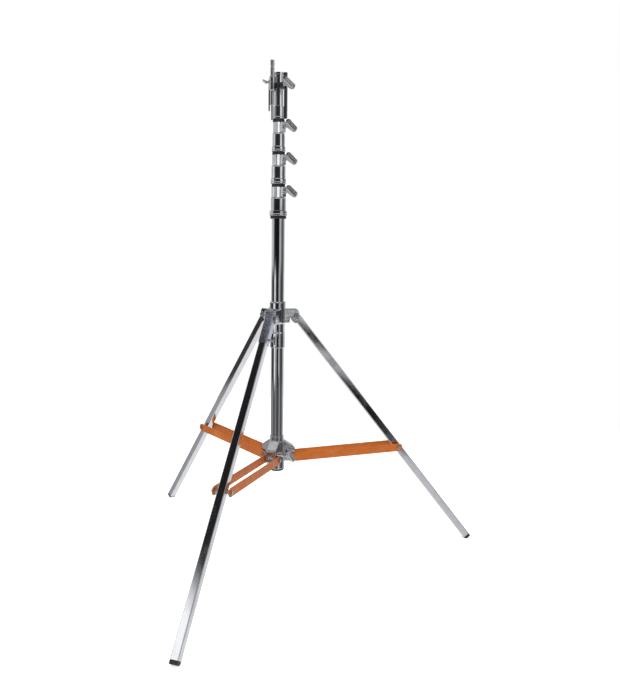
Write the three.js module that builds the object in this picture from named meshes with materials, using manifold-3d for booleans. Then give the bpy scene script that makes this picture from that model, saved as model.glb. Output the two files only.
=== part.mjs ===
// Steel combo stand: a three-riser telescopic column with a junior receiver and a baby pin on top,
// three square folding legs with paired flat braces on a sliding hub, and a levelling sleeve on the front leg.
// Lengths are millimetres. Heights are above the floor until the end, where the origin goes to the floor
// of the receiver's bore.
import * as THREE from "three";
import { mergeVertices } from "three/addons/utils/BufferGeometryUtils.js";
import Module from "manifold-3d";

const wasm = await Module();
wasm.setup();

// Clearances
const seat_gap = 0.3;
const sliding_gap = 0.5;
const bolt_hole_gap = 0.3;
const pivot_side_gap = 0.5;
const cut_overrun = 6;
const merge_distance = 0.001;

// Flats round a column tube, a small round piece, half an arc of a plate and half a corner of a tube
const tube_steps = 28;
const bolt_steps = 12;
const plate_steps = 6;
const corner_steps = 2;

// Column tubes
const base_tube_diameter = 50;
const riser_diameters = [45, 40, 35];
const column_wall = 2;
const riser_foot_gap = 11.7;

// End plug with the stop flange that the brace hub stands on
const plug_flange_height = 350;
const plug_flange_thickness = 7;
const plug_flange_diameter = 56;
const plug_depth = 18;

// Collars: a wide lip, a sloped shoulder, a plain body and a narrower clamp part with the screw lug
const collar_height_above_floor = 1355.3;
const collar_lip_diameters = [67, 58, 51.5];
const collar_body_diameters = [57.5, 53, 46.6];
const collar_clamp_diameters = [53, 48, 42.5];
const collar_lip_length = 17;
const collar_shoulder_length = 2.5;
const collar_body_length = 46.5;
const collar_step_length = 2;
const collar_clamp_length = 40;
const collar_socket_depth = 62;
const collar_edge = 1.2;
const lug_reach = 9;
const lug_width = 20;
const lug_edge = 2.5;
const lug_boss_diameter = 15;
const lug_boss_length = 4;
const clamp_azimuth_deg = -48;

// Black rings on the collars
const wiper_length = 10.5;
const wiper_diameters = [52, 48.5, 45];
const bumper_length = 11;
const bumper_diameter = 61;
const ring_edge = 1.5;

// Brass brake pads behind the clamp screws
const pad_thickness = 2.5;
const pad_width = 12;
const pad_length = 18;

// Clamp screws with T-handles
const screw_diameter = 8;
const screw_hole_gap = 0.3;
const handle_gap = 1;
const handle_reach = 35;
const handle_neck_diameter = 13;
const handle_waist_diameter = 10;
const handle_wing_length = 57;
const handle_wing_depth = 22;
const handle_wing_thickness = 21;
const handle_wing_edge = 4;
const handle_tilt_deg = 56;
const wing_outline_shares = [
  [0, 0.2],
  [0.3, 0.74],
  [0.46, 0.94],
  [0.62, 1],
  [0.84, 0.96],
  [1, 0.74],
];

// Receiver for a 28.6 mm spigot
const receiver_floor_rise = 87.4;
const receiver_bore_diameter = 28.6;
const receiver_bore_depth = 80;
const receiver_floor_thickness = 5;
const receiver_diameter = 33;
const receiver_rim_diameter = 37;
const receiver_rim_thickness = 8;
const head_sleeve_diameter = 42;
const head_sleeve_length = 46;
const head_socket_depth = 41;
const head_edge = 1;

// Clamp band round the receiver
const receiver_clamp_azimuth_deg = -57;
const band_rise = 22.5;
const band_length = 19;
const band_diameter = 39.6;
const band_lug_reach = 12;
const band_lug_width = 18;

// Safety bar with an eye, on the side of the head
const bar_azimuth_deg = -20;
const bar_width = 12.7;
const bar_thickness = 6;
const bar_drop = 87;
const bar_rise = 80.5;
const bar_ear_length = 27;
const bar_corner = 3;
const bar_eye_diameter = 6.5;
const bar_eye_inset = 8;
const bar_eye_drop = 17;

// Baby pin and its housing
const pin_azimuth_deg = 215;
const pin_offset = 29.6;
const pin_diameter = 16;
const pin_rise = 121.5;
const pin_head_length = 20.5;
const pin_groove_length = 6;
const pin_groove_diameter = 13;
const pin_drop = 39.5;
const pin_edge = 1.5;
const pin_tail_diameter = 9;
const pin_tail_length = 54;
const housing_rise = 11;
const housing_length = 53.5;
const housing_diameter = 23;
const housing_web_width = 12;
const housing_corner = 3;
const housing_root_radius = 14.5;
const guide_bar_thickness = 5.5;
const guide_bar_width = 8;
const guide_bar_length = 72.5;
const guide_bar_rise = 40;
const guide_bar_turn_deg = -35;
const pin_lock_rise = 29;
const pin_lock_screw_diameter = 6;
const pin_lock_boss_diameter = 13;
const pin_lock_boss_length = 4;
const knob_reach = 15;
const knob_neck_diameter = 8;
const knob_wing_length = 32;
const knob_wing_depth = 11;
const knob_wing_thickness = 7;
const knob_wing_edge = 1.5;
const pin_knob_tilt_deg = 60;

// Leg collar with its ears
const leg_azimuths_deg = { right: 11.7, left: 131.7, front: 251.7 };
const leg_pivot_radius = 71;
const leg_pivot_height = 973;
const leg_collar_drop = 127;
const leg_collar_skirt_diameter = 58;
const leg_collar_skirt_length = 59;
const leg_collar_waist_diameter = 56;
const leg_collar_waist_length = 39;
const leg_collar_diameter = 62;
const leg_collar_head_length = 83;
const ear_thickness = 6;
const ear_root_radius = 14;
const ear_end_reach = 11.5;
const ear_tip_drop = 31;
const ear_root_rise = 25;
const ear_lower_shares = [
  [0.05, 0.93],
  [0.15, 0.13],
  [0.47, 0.84],
  [0.6, 1],
  [0.77, 1],
  [0.89, 0.84],
  [1, 0.26],
];
const ear_upper_shares = [
  [1, 0.48],
  [0.84, 1],
];
const ear_web_radius = 42;
const ear_web_drop = 29;
const ear_web_rise = 17;

// Bolts of the frame
const bolt_diameter = 10;
const bolt_head_width = 17;
const bolt_head_length = 6;

// Legs
const leg_width = 28;
const leg_wall = 2;
const leg_corner = 3;
const leg_angle_deg = 38.3;
const leg_top_overhang = 13;
const leg_sole_thickness = 13;
const leg_grip_length = 17;
const leg_sole_trim = 5;

// Levelling sleeve of the front leg
const sleeve_width = 34;
const sleeve_wall = 2.5;
const sleeve_corner = 4;
const sleeve_length = 122;
const sleeve_overhang = 14;
const level_lock_distance = 105;
const level_boss_diameter = 13;
const level_boss_length = 6;
const level_knob_wing_length = 36;
const level_knob_reach = 17;
const level_knob_tilt_deg = 25;

// Braces
const brace_joint_distance = 697;
const brace_height = 32;
const brace_thickness = 3;
const brace_spacing = 60;
const spacer_diameter = 16;

// Brace hub
const hub_pivot_radius = 55;
const hub_pivot_rise = 47.7;
const hub_diameter = 61;
const hub_length = 113;
const hub_neck_diameter = 55;
const hub_neck_length = 21;
const hub_edge = 2;
const hub_lug_width = 44;
const hub_lug_radius = 70;
const hub_lug_rise = 31.7;
const hub_lug_length = 60;
const hub_lug_slope = 23;
const hub_lug_corner = 9;
const hub_lug_edge = 1.5;
const hub_eye_diameter = 22;
const hub_eye_length = 56;
const hub_pocket_width = 24;
const hub_pocket_rise = 22;
const hub_pocket_length = 27;
const hub_pocket_depth = 22;
const hub_clamp_azimuth_deg = -42;
const hub_clamp_rise = 61.7;
const hub_boss_diameter = 18;
const hub_boss_radius = 40;
const hub_handle_wing_length = 56;
const hub_handle_tilt_deg = 40;

// Turned profile round the Z axis, from [radius, height] pairs that run up the outside and down the inside.
function turned(pairs, steps = tube_steps) {
  const points = pairs.map(([radius, height]) => new THREE.Vector2(radius, height));
  if (pairs[0][0] > 0) points.push(points[0].clone());
  return new THREE.LatheGeometry(points, steps).rotateX(Math.PI / 2);
}

// Plain round bar round the Z axis between two heights.
function round_bar(radius, low, high, steps = bolt_steps) {
  return turned([[0, low], [radius, low], [radius, high], [0, high]], steps);
}

// Upright plate from an outline in X and Z, centred on the XZ plane.
function upright(outline, thickness, edge = 0) {
  const plate = new THREE.ExtrudeGeometry(outline, {
    depth: thickness - 2 * edge,
    bevelEnabled: edge > 0,
    bevelSize: edge,
    bevelOffset: -edge,
    bevelThickness: edge,
    bevelSegments: 1,
    curveSegments: plate_steps,
  });
  return plate.rotateX(Math.PI / 2).translate(0, thickness / 2 - edge, 0);
}

// Block between two corners.
function block([x0, y0, z0], [x1, y1, z1]) {
  const box = new THREE.BoxGeometry(x1 - x0, y1 - y0, z1 - z0);
  return box.translate((x0 + x1) / 2, (y0 + y1) / 2, (z0 + z1) / 2);
}

// Rectangle with round corners, centred on its origin.
function round_rectangle(width, height, corner, Path = THREE.Shape) {
  const x = width / 2 - corner;
  const y = height / 2 - corner;
  const path = new Path();
  path.absarc(x, y, corner, 0, Math.PI / 2);
  path.absarc(-x, y, corner, Math.PI / 2, Math.PI);
  path.absarc(-x, -y, corner, Math.PI, 1.5 * Math.PI);
  path.absarc(x, -y, corner, 1.5 * Math.PI, 2 * Math.PI);
  path.closePath();
  return path;
}

// Square tube along Z.
function square_tube(width, wall, corner, low, high) {
  const outline = round_rectangle(width, width, corner);
  outline.holes.push(round_rectangle(width - 2 * wall, width - 2 * wall, corner - wall, THREE.Path));
  const tube = new THREE.ExtrudeGeometry(outline, {
    depth: high - low,
    bevelEnabled: false,
    curveSegments: corner_steps,
  });
  return tube.translate(0, 0, low);
}

// Closed solid of a geometry, for joining and cutting.
function solid_of(geometry) {
  const bare = geometry.index ? geometry.toNonIndexed() : geometry.clone();
  bare.deleteAttribute("normal");
  bare.deleteAttribute("uv");
  const merged = mergeVertices(bare, merge_distance);
  const vertProperties = merged.attributes.position.array;
  const triVerts = new Uint32Array(merged.index.array);
  return new wasm.Manifold(new wasm.Mesh({ numProp: 3, vertProperties, triVerts }));
}

// Joins the first list of geometries and cuts the second list out of it.
function fused(added, removed = []) {
  let body = solid_of(added[0]);
  for (const geometry of added.slice(1)) body = body.add(solid_of(geometry));
  for (const geometry of removed) body = body.subtract(solid_of(geometry));
  const { vertProperties, triVerts } = body.getMesh();
  const geometry = new THREE.BufferGeometry();
  geometry.setAttribute("position", new THREE.BufferAttribute(new Float32Array(vertProperties), 3));
  geometry.setIndex(new THREE.BufferAttribute(new Uint32Array(triVerts), 1));
  const faceted = geometry.toNonIndexed();
  faceted.computeVertexNormals();
  return faceted;
}

const looks = {
  chrome: { color: 0xc9ccd0, roughness: 0.12, metalness: 1 },
  cast: { color: 0xb4b7ba, roughness: 0.3, metalness: 0.9 },
  zinc: { color: 0x9c9fa3, roughness: 0.35, metalness: 0.9 },
  black: { color: 0x161618, roughness: 0.45, metalness: 0 },
  orange: { color: 0xb0622f, roughness: 0.4, metalness: 0.1 },
  brass: { color: 0xb08d4a, roughness: 0.35, metalness: 0.9 },
};

// Named piece with a finish of its own, added to a group.
function piece(parent, name, geometry, look) {
  const mesh = new THREE.Mesh(geometry, new THREE.MeshStandardMaterial(looks[look]));
  mesh.name = name;
  parent.add(mesh);
  return mesh;
}

// Group turned about Z inside another.
function turned_group(parent, azimuth_deg, height = 0) {
  const group = new THREE.Group();
  group.rotation.z = THREE.MathUtils.degToRad(azimuth_deg);
  group.position.z = height;
  parent.add(group);
  return group;
}

// Winged handle on its screw: the screw runs along X from tip to face, and the wing's middle is at reach.
function winged_screw(size) {
  const half = size.wing_length / 2;
  const inner = size.reach - size.wing_depth / 2;
  const upper = wing_outline_shares.map(([x, z]) => new THREE.Vector2(inner + x * size.wing_depth, z * half));
  const lower = upper.map(({ x, y }) => new THREE.Vector2(x, -y));
  const outline = new THREE.Shape([...lower, ...upper.reverse()]);
  const neck = size.neck_diameter / 2;
  const waist = size.waist_diameter / 2;
  const bite = inner + size.wing_edge + size.wing_depth / 4;
  const shank = turned([
    [0, size.tip],
    [size.screw_diameter / 2, size.tip],
    [size.screw_diameter / 2, size.face],
    [neck, size.face],
    [neck, size.face + neck],
    [waist, (size.face + inner) / 2],
    [waist, bite],
    [0, bite],
  ], bolt_steps);
  const wing = upright(outline, size.wing_thickness, size.wing_edge);
  const tilt = THREE.MathUtils.degToRad(size.tilt_deg);
  return fused([shank.rotateY(Math.PI / 2), wing]).rotateX(tilt);
}

// T-handle whose screw ends at tip and whose neck starts just off the lug's face.
function t_handle(tip, lug_face, tilt_deg = handle_tilt_deg, wing_length = handle_wing_length) {
  return winged_screw({
    tip,
    face: lug_face + handle_gap,
    reach: lug_face + handle_reach,
    screw_diameter,
    neck_diameter: handle_neck_diameter,
    waist_diameter: handle_waist_diameter,
    wing_length,
    wing_depth: handle_wing_depth,
    wing_thickness: handle_wing_thickness,
    wing_edge: handle_wing_edge,
    tilt_deg,
  });
}

// Small wing knob on its screw.
function wing_knob(tip, boss_face, reach, wing_length, tilt_deg) {
  return winged_screw({
    tip,
    face: boss_face + handle_gap,
    reach: boss_face + reach,
    screw_diameter: pin_lock_screw_diameter,
    neck_diameter: knob_neck_diameter,
    waist_diameter: knob_neck_diameter,
    wing_length,
    wing_depth: knob_wing_depth,
    wing_thickness: knob_wing_thickness,
    wing_edge: knob_wing_edge,
    tilt_deg,
  });
}

// Through bolt along Y with a hexagon head and nut on the outside of a stack of the given half width.
function through_bolt(half_stack) {
  const seat = half_stack + seat_gap;
  const end = seat + bolt_head_length;
  const shaft = round_bar(bolt_diameter / 2, -end + bolt_head_length / 2, end - bolt_head_length / 2);
  const head = round_bar(bolt_head_width / 2, seat, end, 6);
  const nut = round_bar(bolt_head_width / 2, -end, -seat, 6);
  return fused([shaft, head, nut]).rotateX(-Math.PI / 2);
}

// Hole along Y through a piece of the given half width.
function cross_hole(diameter, half_width) {
  return round_bar(diameter / 2, -half_width, half_width).rotateX(-Math.PI / 2);
}

const bolt_hole_diameter = bolt_diameter + 2 * bolt_hole_gap;
const stand = new THREE.Group();

// Column, from the end plug up
const tube_diameters = [base_tube_diameter, ...riser_diameters];
const base_foot = plug_flange_height + plug_flange_thickness + seat_gap;
const collar_length =
  collar_lip_length + collar_shoulder_length + collar_body_length + collar_step_length + collar_clamp_length;
const collar_pitch = collar_length + wiper_length + 2 * seat_gap;
const clamp_middle = collar_length - collar_clamp_length / 2;
const head_foot = collar_height_above_floor + riser_diameters.length * collar_pitch;
const receiver_floor_height = head_foot + receiver_floor_rise;

function column_tube(diameter, low, high) {
  const outer = diameter / 2;
  const inner = outer - column_wall;
  return turned([[inner, low], [outer, low], [outer, high], [inner, high]]);
}

const plug_radius = base_tube_diameter / 2 - column_wall - seat_gap;
const plug_profile = [
  [0, plug_flange_height],
  [plug_flange_diameter / 2 - ring_edge, plug_flange_height],
  [plug_flange_diameter / 2, plug_flange_height + ring_edge],
  [plug_flange_diameter / 2, plug_flange_height + plug_flange_thickness],
  [plug_radius, plug_flange_height + plug_flange_thickness],
  [plug_radius, base_foot + plug_depth],
  [0, base_foot + plug_depth],
];
piece(stand, "column_end_plug", turned(plug_profile), "black");

const base_top = collar_height_above_floor + collar_socket_depth - seat_gap;
piece(stand, "base_tube", column_tube(base_tube_diameter, base_foot, base_top), "chrome");
riser_diameters.forEach((diameter, i) => {
  const foot = base_foot + plug_depth + riser_foot_gap + i * collar_pitch;
  const socket = i < riser_diameters.length - 1 ? collar_socket_depth : head_socket_depth;
  const top = collar_height_above_floor + (i + 1) * collar_pitch + socket - seat_gap;
  piece(stand, `riser_${i + 1}_tube`, column_tube(diameter, foot, top), "chrome");
});

// Collars, each on the top of one tube and clamping the next
riser_diameters.forEach((riser_diameter, i) => {
  const number = i + 1;
  const foot = collar_height_above_floor + i * collar_pitch;
  const lip = collar_lip_diameters[i] / 2;
  const body = collar_body_diameters[i] / 2;
  const clamp = collar_clamp_diameters[i] / 2;
  const socket = tube_diameters[i] / 2 + seat_gap;
  const bore = riser_diameter / 2 + sliding_gap;
  const shoulder_at = collar_lip_length + collar_shoulder_length;
  const step_at = shoulder_at + collar_body_length;
  const barrel = turned([
    [0, 0],
    [lip - collar_edge, 0],
    [lip, collar_edge],
    [lip, collar_lip_length],
    [body, shoulder_at],
    [body, step_at],
    [clamp, step_at + collar_step_length],
    [clamp, collar_length],
    [0, collar_length],
  ]);
  const lug_face = clamp + lug_reach;
  const boss_face = lug_face + lug_boss_length;
  const lug_outline = round_rectangle(lug_width, collar_clamp_length - collar_edge, lug_edge);
  const lug = new THREE.ExtrudeGeometry(lug_outline, {
    depth: lug_reach + clamp / 2,
    bevelEnabled: false,
    curveSegments: corner_steps,
  });
  lug.rotateZ(Math.PI / 2).rotateY(Math.PI / 2).translate(clamp / 2, 0, clamp_middle);
  const boss = round_bar(lug_boss_diameter / 2, clamp, boss_face).rotateY(Math.PI / 2).translate(0, 0, clamp_middle);
  const through = round_bar(bore, step_at - cut_overrun, collar_length + cut_overrun, tube_steps);
  const socket_cut = round_bar(socket, -cut_overrun, collar_socket_depth, tube_steps);
  const pad_inner = riser_diameter / 2 + seat_gap;
  const pad_outer = pad_inner + pad_thickness;
  const pocket_half_width = pad_width / 2 + seat_gap;
  const pocket_half_length = pad_length / 2 + seat_gap;
  const pocket = block(
    [0, -pocket_half_width, clamp_middle - pocket_half_length],
    [pad_outer + seat_gap, pocket_half_width, clamp_middle + pocket_half_length],
  );
  const screw_hole = round_bar(screw_diameter / 2 + screw_hole_gap, pad_outer, boss_face + cut_overrun);
  screw_hole.rotateY(Math.PI / 2).translate(0, 0, clamp_middle);
  const clamp_group = turned_group(stand, clamp_azimuth_deg, foot);
  const azimuth = THREE.MathUtils.degToRad(clamp_azimuth_deg);
  for (const coaxial of [barrel, through, socket_cut]) coaxial.rotateZ(-azimuth);
  const casting = fused([barrel, lug, boss], [socket_cut, through, pocket, screw_hole]);
  piece(clamp_group, `collar_${number}`, casting, "cast");
  const pad = block(
    [pad_inner, -pad_width / 2, clamp_middle - pad_length / 2],
    [pad_outer, pad_width / 2, clamp_middle + pad_length / 2],
  );
  piece(clamp_group, `collar_${number}_brake_pad`, pad, "brass");
  const handle = piece(clamp_group, `collar_${number}_t_handle`, t_handle(pad_outer + seat_gap, boss_face), "zinc");
  handle.position.z = clamp_middle;
  const ring_foot = foot + collar_length + seat_gap;
  const ring = wiper_diameters[i] / 2;
  const ring_profile = [
    [bore, 0],
    [ring, 0],
    [ring, wiper_length - ring_edge],
    [ring - ring_edge, wiper_length],
    [bore, wiper_length],
  ];
  piece(stand, `collar_${number}_wiper_ring`, turned(ring_profile), "black").position.z = ring_foot;
});

const bumper_inner = base_tube_diameter / 2 + seat_gap;
const bumper_profile = [
  [bumper_inner, 0],
  [bumper_diameter / 2 - ring_edge, 0],
  [bumper_diameter / 2, ring_edge],
  [bumper_diameter / 2, bumper_length],
  [bumper_inner, bumper_length],
];
const bumper = piece(stand, "collar_1_bumper_ring", turned(bumper_profile), "black");
bumper.position.z = collar_height_above_floor - seat_gap - bumper_length;

// Head: the receiver and its sleeve on the third riser
const receiver_bore = receiver_bore_diameter / 2;
const receiver_top = receiver_floor_height + receiver_bore_depth;
const receiver_radius = receiver_diameter / 2;
const rim_radius = receiver_rim_diameter / 2;
const sleeve_radius = head_sleeve_diameter / 2;
const head_socket = riser_diameters[2] / 2 + seat_gap;
const sleeve_top = head_foot + head_sleeve_length;
const band_height = receiver_floor_height + band_rise;
const receiver_profile = [
  [0, receiver_floor_height - receiver_floor_thickness],
  [receiver_bore, receiver_floor_height - receiver_floor_thickness],
  [receiver_bore, head_foot + head_socket_depth],
  [head_socket, head_foot + head_socket_depth],
  [head_socket, head_foot],
  [sleeve_radius - head_edge, head_foot],
  [sleeve_radius, head_foot + head_edge],
  [sleeve_radius, sleeve_top - head_edge],
  [sleeve_radius - head_edge, sleeve_top],
  [receiver_radius, sleeve_top],
  [receiver_radius, receiver_top - receiver_rim_thickness],
  [rim_radius, receiver_top - receiver_rim_thickness],
  [rim_radius, receiver_top],
  [receiver_bore, receiver_top],
  [receiver_bore, receiver_floor_height],
  [0, receiver_floor_height],
];
const head = turned_group(stand, receiver_clamp_azimuth_deg);
const head_turn = -THREE.MathUtils.degToRad(receiver_clamp_azimuth_deg);
const band_middle = band_height + band_length / 2;
const receiver_hole = round_bar(screw_diameter / 2 + screw_hole_gap, 0, receiver_radius + cut_overrun);
receiver_hole.rotateY(Math.PI / 2).translate(0, 0, band_middle);
piece(head, "receiver", fused([turned(receiver_profile).rotateZ(head_turn)], [receiver_hole]), "chrome");

const band_radius = band_diameter / 2;
const band_inner = receiver_radius + seat_gap;
const band_face = band_radius + band_lug_reach;
const band_ring = turned([
  [band_inner, band_height],
  [band_radius, band_height],
  [band_radius, band_height + band_length],
  [band_inner, band_height + band_length],
]).rotateZ(head_turn);
const band_lug = block(
  [receiver_radius + column_wall, -band_lug_width / 2, band_height],
  [band_face, band_lug_width / 2, band_height + band_length],
);
const band_hole = round_bar(screw_diameter / 2 + screw_hole_gap, 0, band_face + cut_overrun);
band_hole.rotateY(Math.PI / 2).translate(0, 0, band_middle);
const band_bore = round_bar(band_inner, band_height - cut_overrun, band_height + band_length + cut_overrun, tube_steps);
piece(head, "receiver_clamp_band", fused([band_ring, band_lug], [band_hole, band_bore.rotateZ(head_turn)]), "black");
const head_handle = piece(head, "receiver_t_handle", t_handle(receiver_bore + sliding_gap, band_face), "zinc");
head_handle.position.z = band_middle;

// Safety bar beside the head, with an ear that meets the rim
const bar_inner = sleeve_radius + seat_gap;
const bar_foot_height = receiver_floor_height - bar_drop;
const bar_top_height = receiver_floor_height + bar_rise;
const bar_outer = bar_inner + bar_width;
const ear_inner = rim_radius + seat_gap;
const bar_outline = new THREE.Shape();
bar_outline.moveTo(bar_inner, bar_foot_height);
bar_outline.lineTo(bar_outer - bar_corner, bar_foot_height);
bar_outline.lineTo(bar_outer, bar_foot_height + bar_corner);
bar_outline.lineTo(bar_outer, bar_top_height - bar_corner);
bar_outline.lineTo(bar_outer - bar_corner, bar_top_height);
bar_outline.lineTo(ear_inner + bar_corner, bar_top_height);
bar_outline.lineTo(ear_inner, bar_top_height - bar_corner);
bar_outline.lineTo(ear_inner, bar_top_height - bar_ear_length);
bar_outline.lineTo(bar_inner, bar_top_height - bar_ear_length - bar_corner);
bar_outline.closePath();
const eye = new THREE.Path();
eye.absarc(bar_outer - bar_eye_inset, bar_top_height - bar_eye_drop, bar_eye_diameter / 2, 0, 2 * Math.PI, true);
bar_outline.holes.push(eye);
piece(turned_group(stand, bar_azimuth_deg), "safety_bar", upright(bar_outline, bar_thickness), "chrome");

// Baby pin, its housing on the side of the receiver, and the lock knob
const pin_group = turned_group(stand, pin_azimuth_deg);
const pin_radius = pin_diameter / 2;
const pin_bore = pin_radius + seat_gap;
const housing_inner = receiver_radius + seat_gap;
const housing_foot_height = receiver_floor_height + housing_rise;
const housing_top_height = housing_foot_height + housing_length;
const guide_bar_foot_height = housing_foot_height - guide_bar_length;
const pin_lock_height = housing_foot_height + pin_lock_rise;
const pin_top_height = receiver_floor_height + pin_rise;
const pin_foot_height = receiver_floor_height - pin_drop;
const housing_radius = housing_diameter / 2;
const housing_barrel = turned([
  [0, housing_foot_height],
  [housing_radius - housing_corner, housing_foot_height],
  [housing_radius, housing_foot_height + housing_corner],
  [housing_radius, housing_top_height - housing_corner],
  [housing_radius - housing_corner, housing_top_height],
  [0, housing_top_height],
], tube_steps).translate(pin_offset, 0, 0);
const housing_web = block(
  [housing_root_radius, -housing_web_width / 2, housing_foot_height],
  [pin_offset, housing_web_width / 2, housing_top_height],
);
const guide_near = pin_bore;
const guide_turn = THREE.MathUtils.degToRad(guide_bar_turn_deg);
const guide_bar = block(
  [guide_near, -guide_bar_width / 2, guide_bar_foot_height],
  [guide_near + guide_bar_thickness, guide_bar_width / 2, housing_foot_height + guide_bar_rise],
).rotateZ(guide_turn).translate(pin_offset, 0, 0);
const pin_boss_face = pin_offset + housing_radius + pin_lock_boss_length;
const pin_boss = round_bar(pin_lock_boss_diameter / 2, pin_offset, pin_boss_face);
pin_boss.rotateY(Math.PI / 2).translate(0, 0, pin_lock_height);
const pin_hole = round_bar(pin_bore, guide_bar_foot_height - cut_overrun, housing_top_height + cut_overrun, tube_steps);
pin_hole.translate(pin_offset, 0, 0);
const pin_lock_hole = round_bar(pin_lock_screw_diameter / 2 + screw_hole_gap, pin_offset, pin_boss_face + cut_overrun);
pin_lock_hole.rotateY(Math.PI / 2).translate(0, 0, pin_lock_height);
const receiver_clearance = round_bar(housing_inner, housing_foot_height - cut_overrun, receiver_top, tube_steps);
const band_clearance = round_bar(
  band_radius + seat_gap,
  band_height - seat_gap,
  band_height + band_length + seat_gap,
  tube_steps,
);
const housing = fused(
  [housing_barrel, housing_web, guide_bar, pin_boss],
  [pin_hole, pin_lock_hole, receiver_clearance, band_clearance],
);
piece(pin_group, "pin_housing", housing, "cast");

const pin_tail = pin_tail_diameter / 2;
const groove_top = pin_top_height - pin_head_length;
const groove_foot = groove_top - pin_groove_length;
const pin_profile = [
  [0, pin_foot_height - pin_tail_length],
  [pin_tail, pin_foot_height - pin_tail_length],
  [pin_tail, pin_foot_height],
  [pin_radius, pin_foot_height],
  [pin_radius, groove_foot],
  [pin_groove_diameter / 2, groove_foot],
  [pin_groove_diameter / 2, groove_top],
  [pin_radius, groove_top],
  [pin_radius, pin_top_height - pin_edge],
  [pin_radius - pin_edge, pin_top_height],
  [0, pin_top_height],
];
piece(pin_group, "baby_pin", turned(pin_profile, tube_steps), "chrome").position.x = pin_offset;
const pin_knob = wing_knob(pin_offset + pin_bore + seat_gap, pin_boss_face, knob_reach, knob_wing_length, pin_knob_tilt_deg);
piece(pin_group, "pin_lock_knob", pin_knob, "zinc").position.z = pin_lock_height;

// Leg collar: a sleeve on the base tube with a pair of ears for each leg
const leg_gap = { right: leg_width, left: leg_width, front: sleeve_width };
const ears_half = (side) => leg_gap[side] / 2 + pivot_side_gap + ear_thickness;
const leg_collar_bore = base_tube_diameter / 2 + seat_gap;
const leg_collar_foot_height = leg_pivot_height - leg_collar_drop;
const skirt_top = leg_collar_foot_height + leg_collar_skirt_length;
const waist_top = skirt_top + leg_collar_waist_length;
const leg_collar_top = waist_top + leg_collar_head_length;
const leg_collar_parts = [
  turned([
    [0, leg_collar_foot_height],
    [leg_collar_skirt_diameter / 2 - collar_edge, leg_collar_foot_height],
    [leg_collar_skirt_diameter / 2, leg_collar_foot_height + collar_edge],
    [leg_collar_skirt_diameter / 2, skirt_top],
    [leg_collar_waist_diameter / 2, skirt_top + collar_edge],
    [leg_collar_waist_diameter / 2, waist_top - lug_edge],
    [leg_collar_diameter / 2, waist_top],
    [leg_collar_diameter / 2, leg_collar_top - lug_edge],
    [leg_collar_diameter / 2 - lug_edge, leg_collar_top],
    [0, leg_collar_top],
  ]),
];
const leg_collar_cuts = [
  round_bar(leg_collar_bore, leg_collar_foot_height - cut_overrun, leg_collar_top + cut_overrun, tube_steps),
];
for (const [side, azimuth_deg] of Object.entries(leg_azimuths_deg)) {
  const azimuth = THREE.MathUtils.degToRad(azimuth_deg);
  const ear = new THREE.Shape();
  const ear_out = leg_pivot_radius + ear_end_reach - ear_web_radius;
  ear.moveTo(ear_root_radius, leg_pivot_height - ear_web_drop);
  for (const [x, z] of ear_lower_shares) ear.lineTo(ear_web_radius + x * ear_out, leg_pivot_height - z * ear_tip_drop);
  for (const [x, z] of ear_upper_shares) ear.lineTo(ear_web_radius + x * ear_out, leg_pivot_height + z * ear_root_rise);
  ear.lineTo(ear_root_radius, leg_pivot_height + ear_root_rise);
  ear.closePath();
  const place = leg_gap[side] / 2 + pivot_side_gap + ear_thickness / 2;
  for (const way of [-1, 1]) {
    leg_collar_parts.push(upright(ear, ear_thickness).translate(0, way * place, 0).rotateZ(azimuth));
  }
  const web = block(
    [ear_root_radius, -place, leg_pivot_height - ear_web_drop],
    [ear_web_radius, place, leg_pivot_height + ear_web_rise],
  );
  leg_collar_parts.push(web.rotateZ(azimuth));
  const hole = cross_hole(bolt_hole_diameter, ears_half(side) + cut_overrun);
  leg_collar_cuts.push(hole.translate(leg_pivot_radius, 0, leg_pivot_height).rotateZ(azimuth));
}
piece(stand, "leg_collar", fused(leg_collar_parts, leg_collar_cuts), "cast");

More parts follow.
